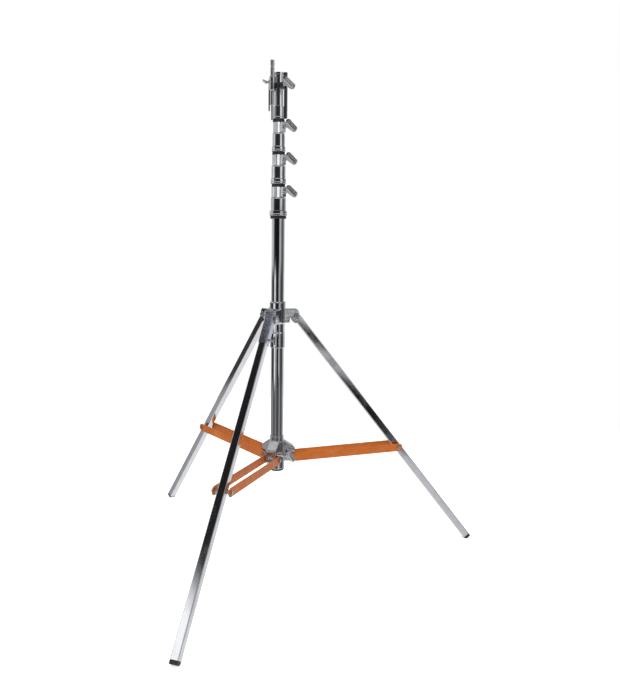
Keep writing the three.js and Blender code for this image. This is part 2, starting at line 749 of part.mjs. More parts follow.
// Legs, hung from the ears: in a leg's own group the pivot is the origin and the leg runs down Z
const leg_angle = THREE.MathUtils.degToRad(leg_angle_deg);
const leg_floor_place = leg_pivot_height / Math.cos(leg_angle);
const sole_place = leg_floor_place - ((leg_width / 2) * Math.sin(leg_angle) - leg_sole_trim) / Math.cos(leg_angle);
const tube_foot = -sole_place + leg_sole_thickness + seat_gap;
for (const [side, azimuth_deg] of Object.entries(leg_azimuths_deg)) {
  const carrier = turned_group(stand, azimuth_deg);
  const bolt = piece(carrier, `leg_${side}_pivot_bolt`, through_bolt(ears_half(side)), "zinc");
  bolt.position.set(leg_pivot_radius, 0, leg_pivot_height);
  const leg = new THREE.Group();
  leg.position.copy(bolt.position);
  leg.rotation.y = -leg_angle;
  carrier.add(leg);

  const levelling = side === "front";
  const tube_head = levelling ? -bolt_diameter / 2 - sleeve_wall : leg_top_overhang;
  const tube = square_tube(leg_width, leg_wall, leg_corner, tube_foot, tube_head);
  const cross = cross_hole(bolt_hole_diameter, leg_width);
  const cuts = [cross.clone().translate(0, 0, -brace_joint_distance)];
  if (!levelling) cuts.push(cross);
  piece(leg, `leg_${side}_tube`, fused([tube], cuts), "chrome");

  const spacer_end = brace_spacing / 2 - brace_thickness / 2 - pivot_side_gap;
  const spacer_seat = leg_width / 2 + seat_gap;
  const spacer = turned([
    [0, -spacer_end],
    [spacer_diameter / 2, -spacer_end],
    [spacer_diameter / 2, -spacer_seat],
    [bolt_diameter / 2, -spacer_seat],
    [bolt_diameter / 2, spacer_seat],
    [spacer_diameter / 2, spacer_seat],
    [spacer_diameter / 2, spacer_end],
    [0, spacer_end],
  ], bolt_steps).rotateX(-Math.PI / 2);
  piece(leg, `leg_${side}_brace_spacer`, spacer, "zinc").position.z = -brace_joint_distance;

  const cap_body = new THREE.ExtrudeGeometry(round_rectangle(leg_width, leg_width, leg_corner), {
    depth: tube_foot - seat_gap + sole_place,
    bevelEnabled: false,
    curveSegments: corner_steps,
  }).translate(0, 0, -sole_place);
  const cap_plug_width = leg_width - 2 * leg_wall - 2 * seat_gap;
  const cap_plug = new THREE.ExtrudeGeometry(round_rectangle(cap_plug_width, cap_plug_width, leg_corner), {
    depth: leg_sole_thickness / 2 + leg_grip_length,
    bevelEnabled: false,
    curveSegments: corner_steps,
  }).translate(0, 0, tube_foot - leg_sole_thickness / 2);
  const floor_cutter = block(
    [leg_pivot_radius, -leg_width, -leg_width],
    [leg_pivot_radius + leg_floor_place, leg_width, 0],
  ).translate(-leg_pivot_radius, 0, -leg_pivot_height).rotateY(leg_angle);
  piece(leg, `leg_${side}_foot_cap`, fused([cap_body, cap_plug], [floor_cutter]), "black");

  if (!levelling) continue;
  const sleeve = square_tube(sleeve_width, sleeve_wall, sleeve_corner, -sleeve_length, sleeve_overhang);
  const level_face = sleeve_width / 2 + level_boss_length;
  const level_boss = round_bar(level_boss_diameter / 2, sleeve_width / 2 - sleeve_wall / 2, level_face);
  level_boss.rotateX(-Math.PI / 2).translate(0, 0, -level_lock_distance);
  const level_hole = round_bar(pin_lock_screw_diameter / 2 + screw_hole_gap, 0, level_face + cut_overrun);
  level_hole.rotateX(-Math.PI / 2).translate(0, 0, -level_lock_distance);
  piece(leg, "levelling_sleeve", fused([sleeve, level_boss], [cross, level_hole]), "chrome");
  const tip = leg_width / 2 + seat_gap;
  const level_knob = wing_knob(tip, level_face, level_knob_reach, level_knob_wing_length, level_knob_tilt_deg);
  level_knob.rotateZ(Math.PI / 2);
  piece(leg, "levelling_lock_knob", level_knob, "zinc").position.z = -level_lock_distance;
}

// Brace hub: a sleeve that slides on the base tube, with a cored lug for each pair of braces
const hub_bore = base_tube_diameter / 2 + sliding_gap;
const hub_top = base_foot + hub_length;
const hub_pivot_height = base_foot + hub_pivot_rise;
const hub_clamp_height = base_foot + hub_clamp_rise;
const hub_lug_low = base_foot + hub_lug_rise;
const hub_lug_high = hub_lug_low + hub_lug_length;
const hub_lug_root_high = hub_lug_high + hub_lug_slope;
const hub_pocket_low = hub_lug_low + hub_pocket_rise;
const hub_pocket_high = hub_pocket_low + hub_pocket_length;
const neck_top = hub_top + hub_neck_length;
const hub_parts = [
  turned([
    [0, base_foot],
    [hub_diameter / 2 - hub_edge, base_foot],
    [hub_diameter / 2, base_foot + hub_edge],
    [hub_diameter / 2, hub_top - hub_edge],
    [hub_neck_diameter / 2, hub_top],
    [hub_neck_diameter / 2, neck_top],
    [0, neck_top],
  ]),
];
const hub_cuts = [round_bar(hub_bore, base_foot - cut_overrun, neck_top + cut_overrun, tube_steps)];
const lug_root = hub_diameter / 2 - hub_edge;
for (const azimuth_deg of Object.values(leg_azimuths_deg)) {
  const azimuth = THREE.MathUtils.degToRad(azimuth_deg);
  const outline = new THREE.Shape();
  outline.moveTo(lug_root / 2, hub_lug_low);
  outline.lineTo(hub_lug_radius - hub_lug_corner, hub_lug_low);
  outline.absarc(hub_lug_radius - hub_lug_corner, hub_lug_low + hub_lug_corner, hub_lug_corner, -Math.PI / 2, 0);
  outline.absarc(hub_lug_radius - hub_lug_corner, hub_lug_high - hub_lug_corner, hub_lug_corner, 0, 0.4 * Math.PI);
  outline.lineTo(lug_root, hub_lug_root_high);
  outline.lineTo(lug_root / 2, hub_lug_root_high);
  outline.closePath();
  hub_parts.push(upright(outline, hub_lug_width, hub_lug_edge).rotateZ(azimuth));
  const eye = cross_hole(hub_eye_diameter, hub_eye_length / 2);
  hub_parts.push(eye.translate(hub_pivot_radius, 0, hub_pivot_height).rotateZ(azimuth));
  const pocket = block(
    [hub_lug_radius - hub_pocket_depth, -hub_pocket_width / 2, hub_pocket_low],
    [hub_lug_radius + cut_overrun, hub_pocket_width / 2, hub_pocket_high],
  );
  hub_cuts.push(pocket.rotateZ(azimuth));
  const hole = cross_hole(bolt_hole_diameter, hub_lug_width);
  hub_cuts.push(hole.translate(hub_pivot_radius, 0, hub_pivot_height).rotateZ(azimuth));
}
const hub_clamp_azimuth = THREE.MathUtils.degToRad(hub_clamp_azimuth_deg);
const hub_boss = round_bar(hub_boss_diameter / 2, hub_bore, hub_boss_radius).rotateY(Math.PI / 2);
hub_parts.push(hub_boss.translate(0, 0, hub_clamp_height).rotateZ(hub_clamp_azimuth));
const hub_screw_hole = round_bar(screw_diameter / 2 + screw_hole_gap, 0, hub_boss_radius + cut_overrun);
hub_cuts.push(hub_screw_hole.rotateY(Math.PI / 2).translate(0, 0, hub_clamp_height).rotateZ(hub_clamp_azimuth));
piece(stand, "brace_hub", fused(hub_parts, hub_cuts), "cast");
const hub_tip = base_tube_diameter / 2 + seat_gap;
const hub_handle = t_handle(hub_tip, hub_boss_radius, hub_handle_tilt_deg, hub_handle_wing_length);
piece(turned_group(stand, hub_clamp_azimuth_deg, hub_clamp_height), "hub_t_handle", hub_handle, "zinc");

// Braces: two flat plates a side, pinned to the hub and to the leg
const joint_radius = leg_pivot_radius + brace_joint_distance * Math.sin(leg_angle);
const joint_height = leg_pivot_height - brace_joint_distance * Math.cos(leg_angle);
const brace_run = joint_radius - hub_pivot_radius;
const brace_rise = joint_height - hub_pivot_height;
const brace_length = Math.hypot(brace_run, brace_rise);
for (const [side, azimuth_deg] of Object.entries(leg_azimuths_deg)) {
  const carrier = turned_group(stand, azimuth_deg);
  const hub_bolt = piece(carrier, `hub_bolt_${side}`, through_bolt(brace_spacing / 2 + brace_thickness / 2), "zinc");
  hub_bolt.position.set(hub_pivot_radius, 0, hub_pivot_height);
  const brace = new THREE.Group();
  brace.position.copy(hub_bolt.position);
  brace.rotation.y = -Math.atan2(brace_rise, brace_run);
  carrier.add(brace);

  const end = brace_height / 2;
  const outline = new THREE.Shape();
  outline.absarc(0, 0, end, Math.PI / 2, 1.5 * Math.PI);
  outline.absarc(brace_length, 0, end, -Math.PI / 2, Math.PI / 2);
  outline.closePath();
  for (const place of [0, brace_length]) {
    const hole = new THREE.Path();
    hole.absarc(place, 0, bolt_hole_diameter / 2, 0, 2 * Math.PI, true);
    outline.holes.push(hole);
  }
  for (const [hand, way] of [["near", -1], ["far", 1]]) {
    const plate = piece(brace, `brace_${side}_${hand}_plate`, upright(outline, brace_thickness), "orange");
    plate.position.y = (way * brace_spacing) / 2;
    const plate_inner = brace_spacing / 2 - brace_thickness / 2;
    const head_seat = plate_inner + brace_thickness + seat_gap;
    const head_end = head_seat + bolt_head_length;
    const stub = round_bar(bolt_diameter / 2, plate_inner + seat_gap, head_seat + bolt_head_length / 2);
    const head = round_bar(bolt_head_width / 2, head_seat, head_end, 6);
    const fastener = fused([stub, head]).rotateX(way * (-Math.PI / 2));
    const fastener_name = hand === "near" ? `brace_${side}_leg_bolt` : `brace_${side}_leg_nut`;
    piece(brace, fastener_name, fastener, "zinc").position.x = brace_length;
  }
}

// The origin goes to the middle of the receiver's floor
stand.position.z = -receiver_floor_height;
const combo_stand = new THREE.Group();
combo_stand.add(stand);

export default combo_stand;
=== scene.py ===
import math

import bmesh
import bpy
from mathutils import Matrix, Vector


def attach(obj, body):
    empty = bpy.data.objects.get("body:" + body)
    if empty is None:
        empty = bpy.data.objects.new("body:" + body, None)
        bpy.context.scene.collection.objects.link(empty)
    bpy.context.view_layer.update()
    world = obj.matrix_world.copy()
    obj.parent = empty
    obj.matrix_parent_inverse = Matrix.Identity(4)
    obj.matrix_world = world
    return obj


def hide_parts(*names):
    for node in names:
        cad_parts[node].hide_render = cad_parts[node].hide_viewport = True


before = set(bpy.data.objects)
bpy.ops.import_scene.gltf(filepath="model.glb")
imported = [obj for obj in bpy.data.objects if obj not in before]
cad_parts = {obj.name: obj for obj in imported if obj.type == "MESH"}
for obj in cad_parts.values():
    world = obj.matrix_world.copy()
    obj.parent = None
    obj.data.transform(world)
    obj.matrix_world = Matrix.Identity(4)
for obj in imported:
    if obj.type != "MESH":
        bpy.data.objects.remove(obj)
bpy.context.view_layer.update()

# The studio. The stand is upright on a pale floor, and only the camera sees the white round it: the
# chrome mirrors a dim room with windows, lamps and a doorway. The camera is at chest height, looks
# slightly down and takes in the whole stand.
floor_height, floor_radius = -1.8, 3.0
camera_place = Vector((0.1279, -2.692, -0.572))
camera_pitch = math.radians(7.85)
camera_roll = math.radians(0.71)
camera_lens = 24.035
camera_sensor = 24.0

right_way = Vector((1, 0, 0))
upper_way = Vector((0, math.sin(camera_pitch), math.cos(camera_pitch)))
sight = Vector((0, math.cos(camera_pitch), -math.sin(camera_pitch)))
rolled_right = math.cos(camera_roll) * right_way + math.sin(camera_roll) * upper_way
rolled_up = math.cos(camera_roll) * upper_way - math.sin(camera_roll) * right_way
camera_data = bpy.data.cameras.new("photo_camera")
camera_data.sensor_fit = "VERTICAL"
camera_data.sensor_height = camera_sensor
camera_data.lens = camera_lens
camera_data.clip_end = 60
camera = bpy.data.objects.new("photo_camera", camera_data)
bpy.context.scene.collection.objects.link(camera)
camera_turn = Matrix((rolled_right, rolled_up, -sight)).transposed().to_4x4()
camera.matrix_world = Matrix.Translation(camera_place) @ camera_turn
bpy.context.scene.camera = camera
bpy.context.scene.view_settings.view_transform = "Standard"

floor_form = bmesh.new()
bmesh.ops.create_circle(floor_form, cap_ends=True, segments=96, radius=floor_radius)
bmesh.ops.translate(floor_form, verts=floor_form.verts, vec=(0, 0, floor_height))
floor_mesh = bpy.data.meshes.new("studio_floor")
floor_form.to_mesh(floor_mesh)
floor_form.free()
floor = bpy.data.objects.new("studio_floor", floor_mesh)
bpy.context.scene.collection.objects.link(floor)
floor.visible_glossy = False
floor_paint = bpy.data.materials.new("floor_paint")
floor_paint.use_nodes = True
floor_shader = floor_paint.node_tree.nodes["Principled BSDF"]
floor_shader.inputs["Base Color"].default_value = (0.92, 0.92, 0.92, 1)
floor_shader.inputs["Roughness"].default_value = 1.0
floor_shader.inputs["Specular IOR Level"].default_value = 0.0
floor_shader.inputs["Emission Color"].default_value = (1, 1, 1, 1)
floor_shader.inputs["Emission Strength"].default_value = 0.5
floor_mesh.materials.append(floor_paint)

# What the chrome mirrors at four levels and in the high windows, as [bearing, brightness] stops. The
# bearing is 0 straight behind the stand, 0.25 on its left, 0.5 at the camera, 0.75 on its right, and 1
# behind it again.
room_at_head = [
    (0.00, 0.45), (0.10, 0.55), (0.20, 0.62), (0.25, 0.85), (0.285, 0.85), (0.32, 0.22), (0.345, 0.06),
    (0.40, 0.03), (0.55, 0.03), (0.58, 0.12), (0.60, 0.80), (0.645, 1.10), (0.68, 0.50), (0.72, 0.08),
    (0.77, 0.10), (0.82, 0.30), (0.90, 0.50), (1.00, 0.45),
]
room_at_eyes = [
    (0.00, 0.60), (0.13, 0.75), (0.22, 0.48), (0.275, 0.52), (0.312, 0.05), (0.36, 0.012),
    (0.50, 0.006), (0.56, 0.015), (0.585, 0.45), (0.60, 0.55), (0.65, 0.42), (0.69, 0.14), (0.78, 0.10),
    (0.87, 0.48), (1.00, 0.60),
]
room_at_collar = [
    (0.00, 0.40), (0.13, 0.32), (0.17, 0.28), (0.205, 0.05), (0.25, 0.012), (0.285, 0.03),
    (0.316, 0.14), (0.345, 0.95), (0.38, 0.95), (0.41, 0.30), (0.44, 0.02), (0.54, 0.02), (0.56, 0.50),
    (0.595, 0.46), (0.628, 0.22), (0.67, 0.05), (0.75, 0.06), (0.83, 0.30), (0.88, 0.80), (1.00, 0.50),
]
room_at_floor = [
    (0.00, 0.45), (0.13, 0.28), (0.17, 0.12), (0.195, 0.36), (0.235, 0.36), (0.26, 0.14), (0.34, 0.10),
    (0.41, 0.18), (0.455, 0.05), (0.535, 0.08), (0.555, 0.55), (0.605, 0.62), (0.63, 0.16),
    (0.72, 0.07), (0.79, 0.20), (0.87, 0.75), (1.00, 0.50),
]
room_at_windows = [
    (0.00, 0.50), (0.16, 0.45), (0.26, 0.60), (0.38, 0.55), (0.405, 0.18), (0.43, 0.20), (0.445, 1.25),
    (0.55, 1.15), (0.575, 0.40), (0.61, 0.14), (0.65, 0.70), (0.70, 0.55), (0.76, 0.35), (0.80, 0.05),
    (0.87, 0.30), (1.00, 0.50),
]
world = bpy.data.worlds.new("plain_room")
bpy.context.scene.world = world
world.use_nodes = True
room = world.node_tree
room.nodes.clear()


def room_node(kind, **values):
    node = room.nodes.new(kind)
    for name, value in values.items():
        setattr(node, name, value)
    return node


bearing_from = room_node("ShaderNodeTexCoord")
split = room_node("ShaderNodeSeparateXYZ")
room.links.new(bearing_from.outputs["Generated"], split.inputs[0])
towards_camera = room_node("ShaderNodeMath", operation="MULTIPLY")
room.links.new(split.outputs["Y"], towards_camera.inputs[0])
towards_camera.inputs[1].default_value = -1
bearing = room_node("ShaderNodeMath", operation="ARCTAN2")
room.links.new(split.outputs["X"], bearing.inputs[0])
room.links.new(towards_camera.outputs[0], bearing.inputs[1])
turn_share = room_node("ShaderNodeMapRange")
turn_share.inputs["From Min"].default_value = -math.pi
turn_share.inputs["From Max"].default_value = math.pi
room.links.new(bearing.outputs[0], turn_share.inputs["Value"])


def room_band(brightness_round):
    """The brightness of the room at one level, from its stops round the stand."""
    ramp = room_node("ShaderNodeValToRGB")
    stops = ramp.color_ramp.elements
    stops.remove(stops[-1])
    stops[0].position = 0.0
    stops[0].color = (brightness_round[0][1],) * 3 + (1,)
    for place, brightness in brightness_round[1:]:
        stops.new(place).color = (brightness, brightness, brightness * 1.02, 1)
    room.links.new(turn_share.outputs["Result"], ramp.inputs["Fac"])
    return ramp.outputs["Color"]


def room_mix(low, high, share):
    """Runs from low to high, each a brightness or a socket, with a share from 0 to 1."""
    mix = room_node("ShaderNodeMix", data_type="RGBA")
    for socket, value in ((mix.inputs["A"], low), (mix.inputs["B"], high)):
        if isinstance(value, float):
            socket.default_value = (value, value, value, 1)
        else:
            room.links.new(value, socket)
    room.links.new(share, mix.inputs["Factor"])
    return mix.outputs["Result"]


def rising(value, start, end):
    """A share that goes smoothly from 0 at start to 1 at end, and end may be the lower one."""
    step = room_node("ShaderNodeMapRange", interpolation_type="SMOOTHSTEP")
    step.inputs["From Min"].default_value = start
    step.inputs["From Max"].default_value = end
    room.links.new(value, step.inputs["Value"])
    return step.outputs["Result"]


def both(first, second):
    product = room_node("ShaderNodeMath", operation="MULTIPLY")
    room.links.new(first, product.inputs[0])
    room.links.new(second, product.inputs[1])
    return product.outputs[0]


height_share = split.outputs["Z"]
turned = turn_share.outputs["Result"]


def patch(left, right, foot, top):
    """A share that is 1 in one patch of the room, each side of it given as where it starts and is full."""
    sideways = both(rising(turned, *left), rising(turned, *right))
    upwards = both(rising(height_share, *foot), rising(height_share, *top))
    return both(sideways, upwards)


# The walls change with the height. Low on the right of the camera are a dark doorway and a dark beam
# over it, and the pale floor lies below. High up are the windows, a wide soft box on the left, a dark
# band above them and a grey ceiling.
hollow_dark, band_dark = 0.012, 0.015
floor_glow, box_glow, ceiling_glow, backdrop_white = 0.85, 1.15, 0.6, 1.0
doorway = patch((0.54, 0.55), (0.596, 0.588), (-0.288, -0.272), (-0.172, -0.19))
beam = patch((0.54, 0.55), (0.58, 0.57), (-0.145, -0.135), (-0.102, -0.11))
wide_box = patch((0.16, 0.24), (0.52, 0.46), (0.52, 0.57), (0.68, 0.63))
dark_band = both(rising(height_share, 0.64, 0.69), rising(height_share, 0.93, 0.87))
seen = room_band(room_at_floor)
for brightness, share in (
    (room_band(room_at_collar), rising(height_share, -0.205, -0.18)),
    (room_band(room_at_eyes), rising(height_share, -0.045, -0.015)),
    (room_band(room_at_head), rising(height_share, 0.04, 0.10)),
    (hollow_dark, doorway),
    (hollow_dark, beam),
    (floor_glow, rising(height_share, -0.45, -0.62)),
    (room_band(room_at_windows), rising(height_share, 0.29, 0.33)),
    (box_glow, wide_box),
    (band_dark, dark_band),
    (ceiling_glow, rising(height_share, 0.87, 0.93)),
    (backdrop_white, room_node("ShaderNodeLightPath").outputs["Is Camera Ray"]),
):
    seen = room_mix(seen, brightness, share)
light_of_room = room_node("ShaderNodeBackground")
room.links.new(seen, light_of_room.inputs["Color"])
room.links.new(light_of_room.outputs[0], room_node("ShaderNodeOutputWorld").inputs["Surface"])


def soft_box(name, place, aim, size, power):
    lamp = bpy.data.lights.new(name, "AREA")
    lamp.shape = "RECTANGLE"
    lamp.size, lamp.size_y = size
    lamp.energy = power
    holder = bpy.data.objects.new(name, lamp)
    bpy.context.scene.collection.objects.link(holder)
    holder.location = place
    holder.rotation_euler = (Vector(aim) - Vector(place)).to_track_quat("-Z", "Y").to_euler()
    holder.visible_glossy = False


soft_box("top_box", (0.0, -0.6, 2.4), (0, 0, -1.2), (5.0, 5.0), 170)
soft_box("left_box", (-2.2, -2.8, 0.6), (0, 0, -0.9), (1.6, 2.2), 22)
soft_box("front_box", (0.4, -3.4, 0.4), (0, 0, -1.0), (1.6, 1.6), 26)

# The end plug closes the foot of the base tube. It is a black moulded plug with a flange that is wider
# than the tube, so the brace hub comes to rest on it. Like every piece, it is made in millimetres above
# the floor, round the column's axis.
to_metres = Matrix.Translation((0, 0, floor_height)) @ Matrix.Scale(0.001, 4)


def turned_form(profile, closed=False, steps=96, foot=0.0):
    """A form turned round the upright axis from [radius, height above its foot] points."""
    form = bmesh.new()
    points = [form.verts.new((radius, 0, foot + height)) for radius, height in profile]
    lines = [form.edges.new(pair) for pair in zip(points, points[1:])]
    if closed:
        lines.append(form.edges.new((points[-1], points[0])))
    bmesh.ops.spin(form, geom=points + lines, cent=(0, 0, 0), axis=(0, 0, 1), dvec=(0, 0, 0),
                   angle=2 * math.pi, steps=steps, use_merge=True, use_duplicate=False)
    bmesh.ops.remove_doubles(form, verts=form.verts, dist=0.001)
    bmesh.ops.recalc_face_normals(form, faces=form.faces)
    return form


def rounded(form, edges, width, segments=3):
    bmesh.ops.bevel(form, geom=edges, offset=width, offset_type="OFFSET", segments=segments, profile=0.5,
                    affect="EDGES", clamp_overlap=True, material=-1)
    return form


def folds(form, least_deg):
    """The edges where two faces meet at more than an angle."""
    least = math.radians(least_deg)
    return [edge for edge in form.edges if len(edge.link_faces) == 2 and edge.calc_face_angle() > least]


def eased(form, width):
    return rounded(form, folds(form, 35), width)


def finished(form, name, material, body, nodes, place=Matrix(), crease_deg=38):
    """Stores a form as a piece of the stand: it replaces its CAD nodes and moves with their body."""
    bmesh.ops.remove_doubles(form, verts=form.verts, dist=0.002)
    bmesh.ops.recalc_face_normals(form, faces=form.faces)
    for face in form.faces:
        face.smooth = True
    for edge in form.edges:
        edge.smooth = len(edge.link_faces) == 2 and edge.calc_face_angle() < math.radians(crease_deg)
    form.transform(to_metres @ place)
    mesh = bpy.data.meshes.new(name)
    form.to_mesh(mesh)
    form.free()
    mesh.materials.append(material)
    piece = bpy.data.objects.new(name, mesh)
    bpy.context.scene.collection.objects.link(piece)
    flats = piece.modifiers.new("even_flats", "WEIGHTED_NORMAL")
    flats.keep_sharp = True
    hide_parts(*nodes)
    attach(piece, body)
    return piece


def surface_group(name, inputs, outputs):
    """An empty node group that takes a place and some values, and gives out values."""
    group = bpy.data.node_groups.new(name, "ShaderNodeTree")
    group.interface.new_socket("Place", in_out="INPUT", socket_type="NodeSocketVector")
    for label, value in inputs.items():
        socket = group.interface.new_socket(label, in_out="INPUT", socket_type="NodeSocketFloat")
        socket.default_value = value
    for label in outputs:
        group.interface.new_socket(label, in_out="OUTPUT", socket_type="NodeSocketFloat")
    return group, group.nodes.new("NodeGroupInput"), group.nodes.new("NodeGroupOutput")


def add_node(tree, kind, sockets=None, **settings):
    """A node with its settings, and its sockets either linked or given a value."""
    node = tree.nodes.new(kind)
    for label, value in settings.items():
        setattr(node, label, value)
    for label, value in (sockets or {}).items():
        if isinstance(value, bpy.types.NodeSocket):
            tree.links.new(value, node.inputs[label])
        else:
            node.inputs[label].default_value = value
    return node


def noise(tree, place, scale, detail, roughness=0.5):
    sockets = {"Vector": place, "Scale": scale, "Detail": detail, "Roughness": roughness}
    return add_node(tree, "ShaderNodeTexNoise", sockets).outputs["Fac"]


def stretched(tree, value, low, high):
    """A share from 0 to 1 that a value has on its way from low to high."""
    sockets = {"Value": value, "From Min": low, "From Max": high}
    return add_node(tree, "ShaderNodeMapRange", sockets).outputs["Result"]


def reckoned(tree, operation, first, second):
    return add_node(tree, "ShaderNodeMath", {0: first, 1: second}, operation=operation).outputs[0]


# Handling leaves soft smudges and fine scratches on every surface of the stand.
handling, given, result = surface_group("handling_marks", {"Spread": 30.0, "Scratches": 900.0},
                                        ["Smudge", "Scratch"])
smudges = noise(handling, given.outputs["Place"], given.outputs["Spread"], 4.0, 0.62)
handling.links.new(stretched(handling, smudges, 0.42, 0.68), result.inputs["Smudge"])
skew = add_node(handling, "ShaderNodeMapping",
                {"Vector": given.outputs["Place"], "Rotation": (0.5, 0.9, 0.3), "Scale": (1.0, 0.06, 0.35)})
scratches = noise(handling, skew.outputs["Vector"], given.outputs["Scratches"], 2.0)
handling.links.new(stretched(handling, scratches, 0.66, 0.74), result.inputs["Scratch"])

# Mouldings, castings and paint have a skin that is never quite even.
skin, given, result = surface_group("uneven_skin", {"Grain": 800.0, "Waves": 60.0}, ["Height", "Patches"])
grains = noise(skin, given.outputs["Place"], given.outputs["Grain"], 3.0, 0.55)
waves = noise(skin, given.outputs["Place"], given.outputs["Waves"], 2.0)
skin.links.new(reckoned(skin, "ADD", grains, waves), result.inputs["Height"])
skin.links.new(stretched(skin, waves, 0.35, 0.65), result.inputs["Patches"])


def group_node(tree, group, place, **values):
    return add_node(tree, "ShaderNodeGroup", {"Place": place, **values}, node_tree=group)


def shade(colour, share):
    return tuple(min(1, share * value) for value in colour)


def between(tree, share, low, high):
    """A value that runs from low to high with a share from 0 to 1."""
    node = add_node(tree, "ShaderNodeMapRange", {"Value": share, "To Min": low, "To Max": high})
    return node.outputs["Result"]


def tinted(tree, share, low, high):
    """A colour that runs from low to high with a share from 0 to 1."""
    node = add_node(tree, "ShaderNodeMix", {"Factor": share}, data_type="RGBA")
    for label, value in (("A", low), ("B", high)):
        if isinstance(value, bpy.types.NodeSocket):
            tree.links.new(value, node.inputs[label])
        else:
            node.inputs[label].default_value = (*value, 1)
    return node.outputs["Result"]


def bumped(tree, shader, height, distance, strength):
    bump = add_node(tree, "ShaderNodeBump", {"Height": height, "Distance": distance, "Strength": strength})
    tree.links.new(bump.outputs["Normal"], shader.inputs["Normal"])


def new_finish(name, metallic):
    material = bpy.data.materials.new(name)
    material.use_nodes = True
    tree = material.node_tree
    shader = tree.nodes["Principled BSDF"]
    shader.inputs["Metallic"].default_value = metallic
    place = tree.nodes.new("ShaderNodeTexCoord").outputs["Object"]
    return material, tree, shader, place


def moulded_black(name, dark, worn, roughness, grain):
    material, tree, shader, place = new_finish(name, 0.0)
    marks = group_node(tree, handling, place, Spread=45.0, Scratches=1400.0)
    uneven = group_node(tree, skin, place, Grain=grain, Waves=90.0)
    colour = tinted(tree, marks.outputs["Smudge"], dark, worn)
    scratched = tinted(tree, marks.outputs["Scratch"], colour, shade(worn, 3))
    tree.links.new(scratched, shader.inputs["Base Color"])
    patchy = between(tree, uneven.outputs["Patches"], roughness - 0.06, roughness + 0.1)
    tree.links.new(patchy, shader.inputs["Roughness"])
    bumped(tree, shader, uneven.outputs["Height"], 0.0002, 0.35)
    return material


black_plastic = moulded_black("moulded_black_plastic", (0.012, 0.012, 0.013), (0.03, 0.03, 0.032),
                              roughness=0.38, grain=1500.0)
plug_foot, plug_flange, plug_top, flange_radius, plug_radius = 350.0, 357.0, 375.3, 28.0, 22.7
plug = turned_form([
    (0, plug_foot), (flange_radius - 1.5, plug_foot), (flange_radius, plug_foot + 1.5),
    (flange_radius, plug_flange), (plug_radius, plug_flange), (plug_radius, plug_top - 1.5),
    (plug_radius - 1.5, plug_top), (0, plug_top),
])
finished(eased(plug, 0.5), "column_end_plug_moulding", black_plastic, "stand_base",
         ["column_end_plug"])

# The column is four drawn steel tubes, one inside the other, chrome plated and polished.
# The fine lines left by drawing and polishing run along each tube.
drawn, given, result = surface_group("drawn_lines", {"Fineness": 2600.0}, ["Height", "Streak"])
along = add_node(drawn, "ShaderNodeMapping", {"Vector": given.outputs["Place"], "Scale": (1.0, 1.0, 0.004)})
drawn_noise = noise(drawn, along.outputs["Vector"], given.outputs["Fineness"], 3.0, 0.6)
drawn.links.new(drawn_noise, result.inputs["Height"])
streaks = noise(drawn, along.outputs["Vector"], 260.0, 2.0)
drawn.links.new(stretched(drawn, streaks, 0.4, 0.65), result.inputs["Streak"])


def chrome_plate(name, lean=(0.0, 0.0, 0.0), tint=(0.80, 0.81, 0.83), roughness=0.035):
    """Chrome on a tube whose length leans by these angles from upright."""
    material, tree, shader, place = new_finish(name, 1.0)
    upright_again = add_node(tree, "ShaderNodeMapping", {"Vector": place, "Rotation": lean})
    lines = group_node(tree, drawn, upright_again.outputs["Vector"])
    marks = group_node(tree, handling, place, Spread=22.0, Scratches=700.0)
    colour = tinted(tree, marks.outputs["Smudge"], tint, shade(tint, 0.86))
    streaked = tinted(tree, lines.outputs["Streak"], colour, tint)
    tree.links.new(streaked, shader.inputs["Base Color"])
    hazy = between(tree, marks.outputs["Smudge"], roughness, roughness + 0.05)
    scratched = reckoned(tree, "MULTIPLY", marks.outputs["Scratch"], 0.16)
    tree.links.new(reckoned(tree, "ADD", hazy, scratched), shader.inputs["Roughness"])
    bumped(tree, shader, lines.outputs["Height"], 0.00001, 0.05)
    return material


column_chrome = chrome_plate("column_chrome")
base_tube_foot, base_tube_top = 357.3, 1417.0
tube_wall = 2.0


def column_tube(diameter, foot, top):
    outer, inner = diameter / 2, diameter / 2 - tube_wall
    tube = turned_form([(inner, foot), (outer, foot), (outer, top), (inner, top)], closed=True, steps=128)
    return eased(tube, 0.4)


base_tube = column_tube(50, base_tube_foot, base_tube_top)
finished(base_tube, "base_tube_chrome", column_chrome, "stand_base", ["base_tube"])

# The leg collar is one plated casting that grips the base tube: a long skirt, a waist, and a head with
# a pair of thick ears for each leg. The creases between its forms are the fillets of its mould.
leg_bearings = {"right": 11.7, "left": 131.7, "front": 251.7}
leg_pivot_radius, leg_pivot_height = 71.0, 973.0
leg_gaps = {"right": 28.0, "left": 28.0, "front": 34.0}
ear_thickness, ear_play = 6.0, 0.5


def turn(axis, degrees):
    return Matrix.Rotation(math.radians(degrees), 4, axis)


def shift(out, aside, up):
    return Matrix.Translation((out, aside, up))


def round_about(bearing_deg, radius=0.0, height=0.0):
    """A place on the stand: turned to a bearing, then out and up in millimetres."""
    return turn("Z", bearing_deg) @ shift(radius, 0, height)


def arc_points(middle_x, middle_z, radius, start_deg, end_deg, steps):
    angles = [math.radians(start_deg + (end_deg - start_deg) * step / steps) for step in range(steps + 1)]
    return [(middle_x + radius * math.cos(angle), middle_z + radius * math.sin(angle)) for angle in angles]


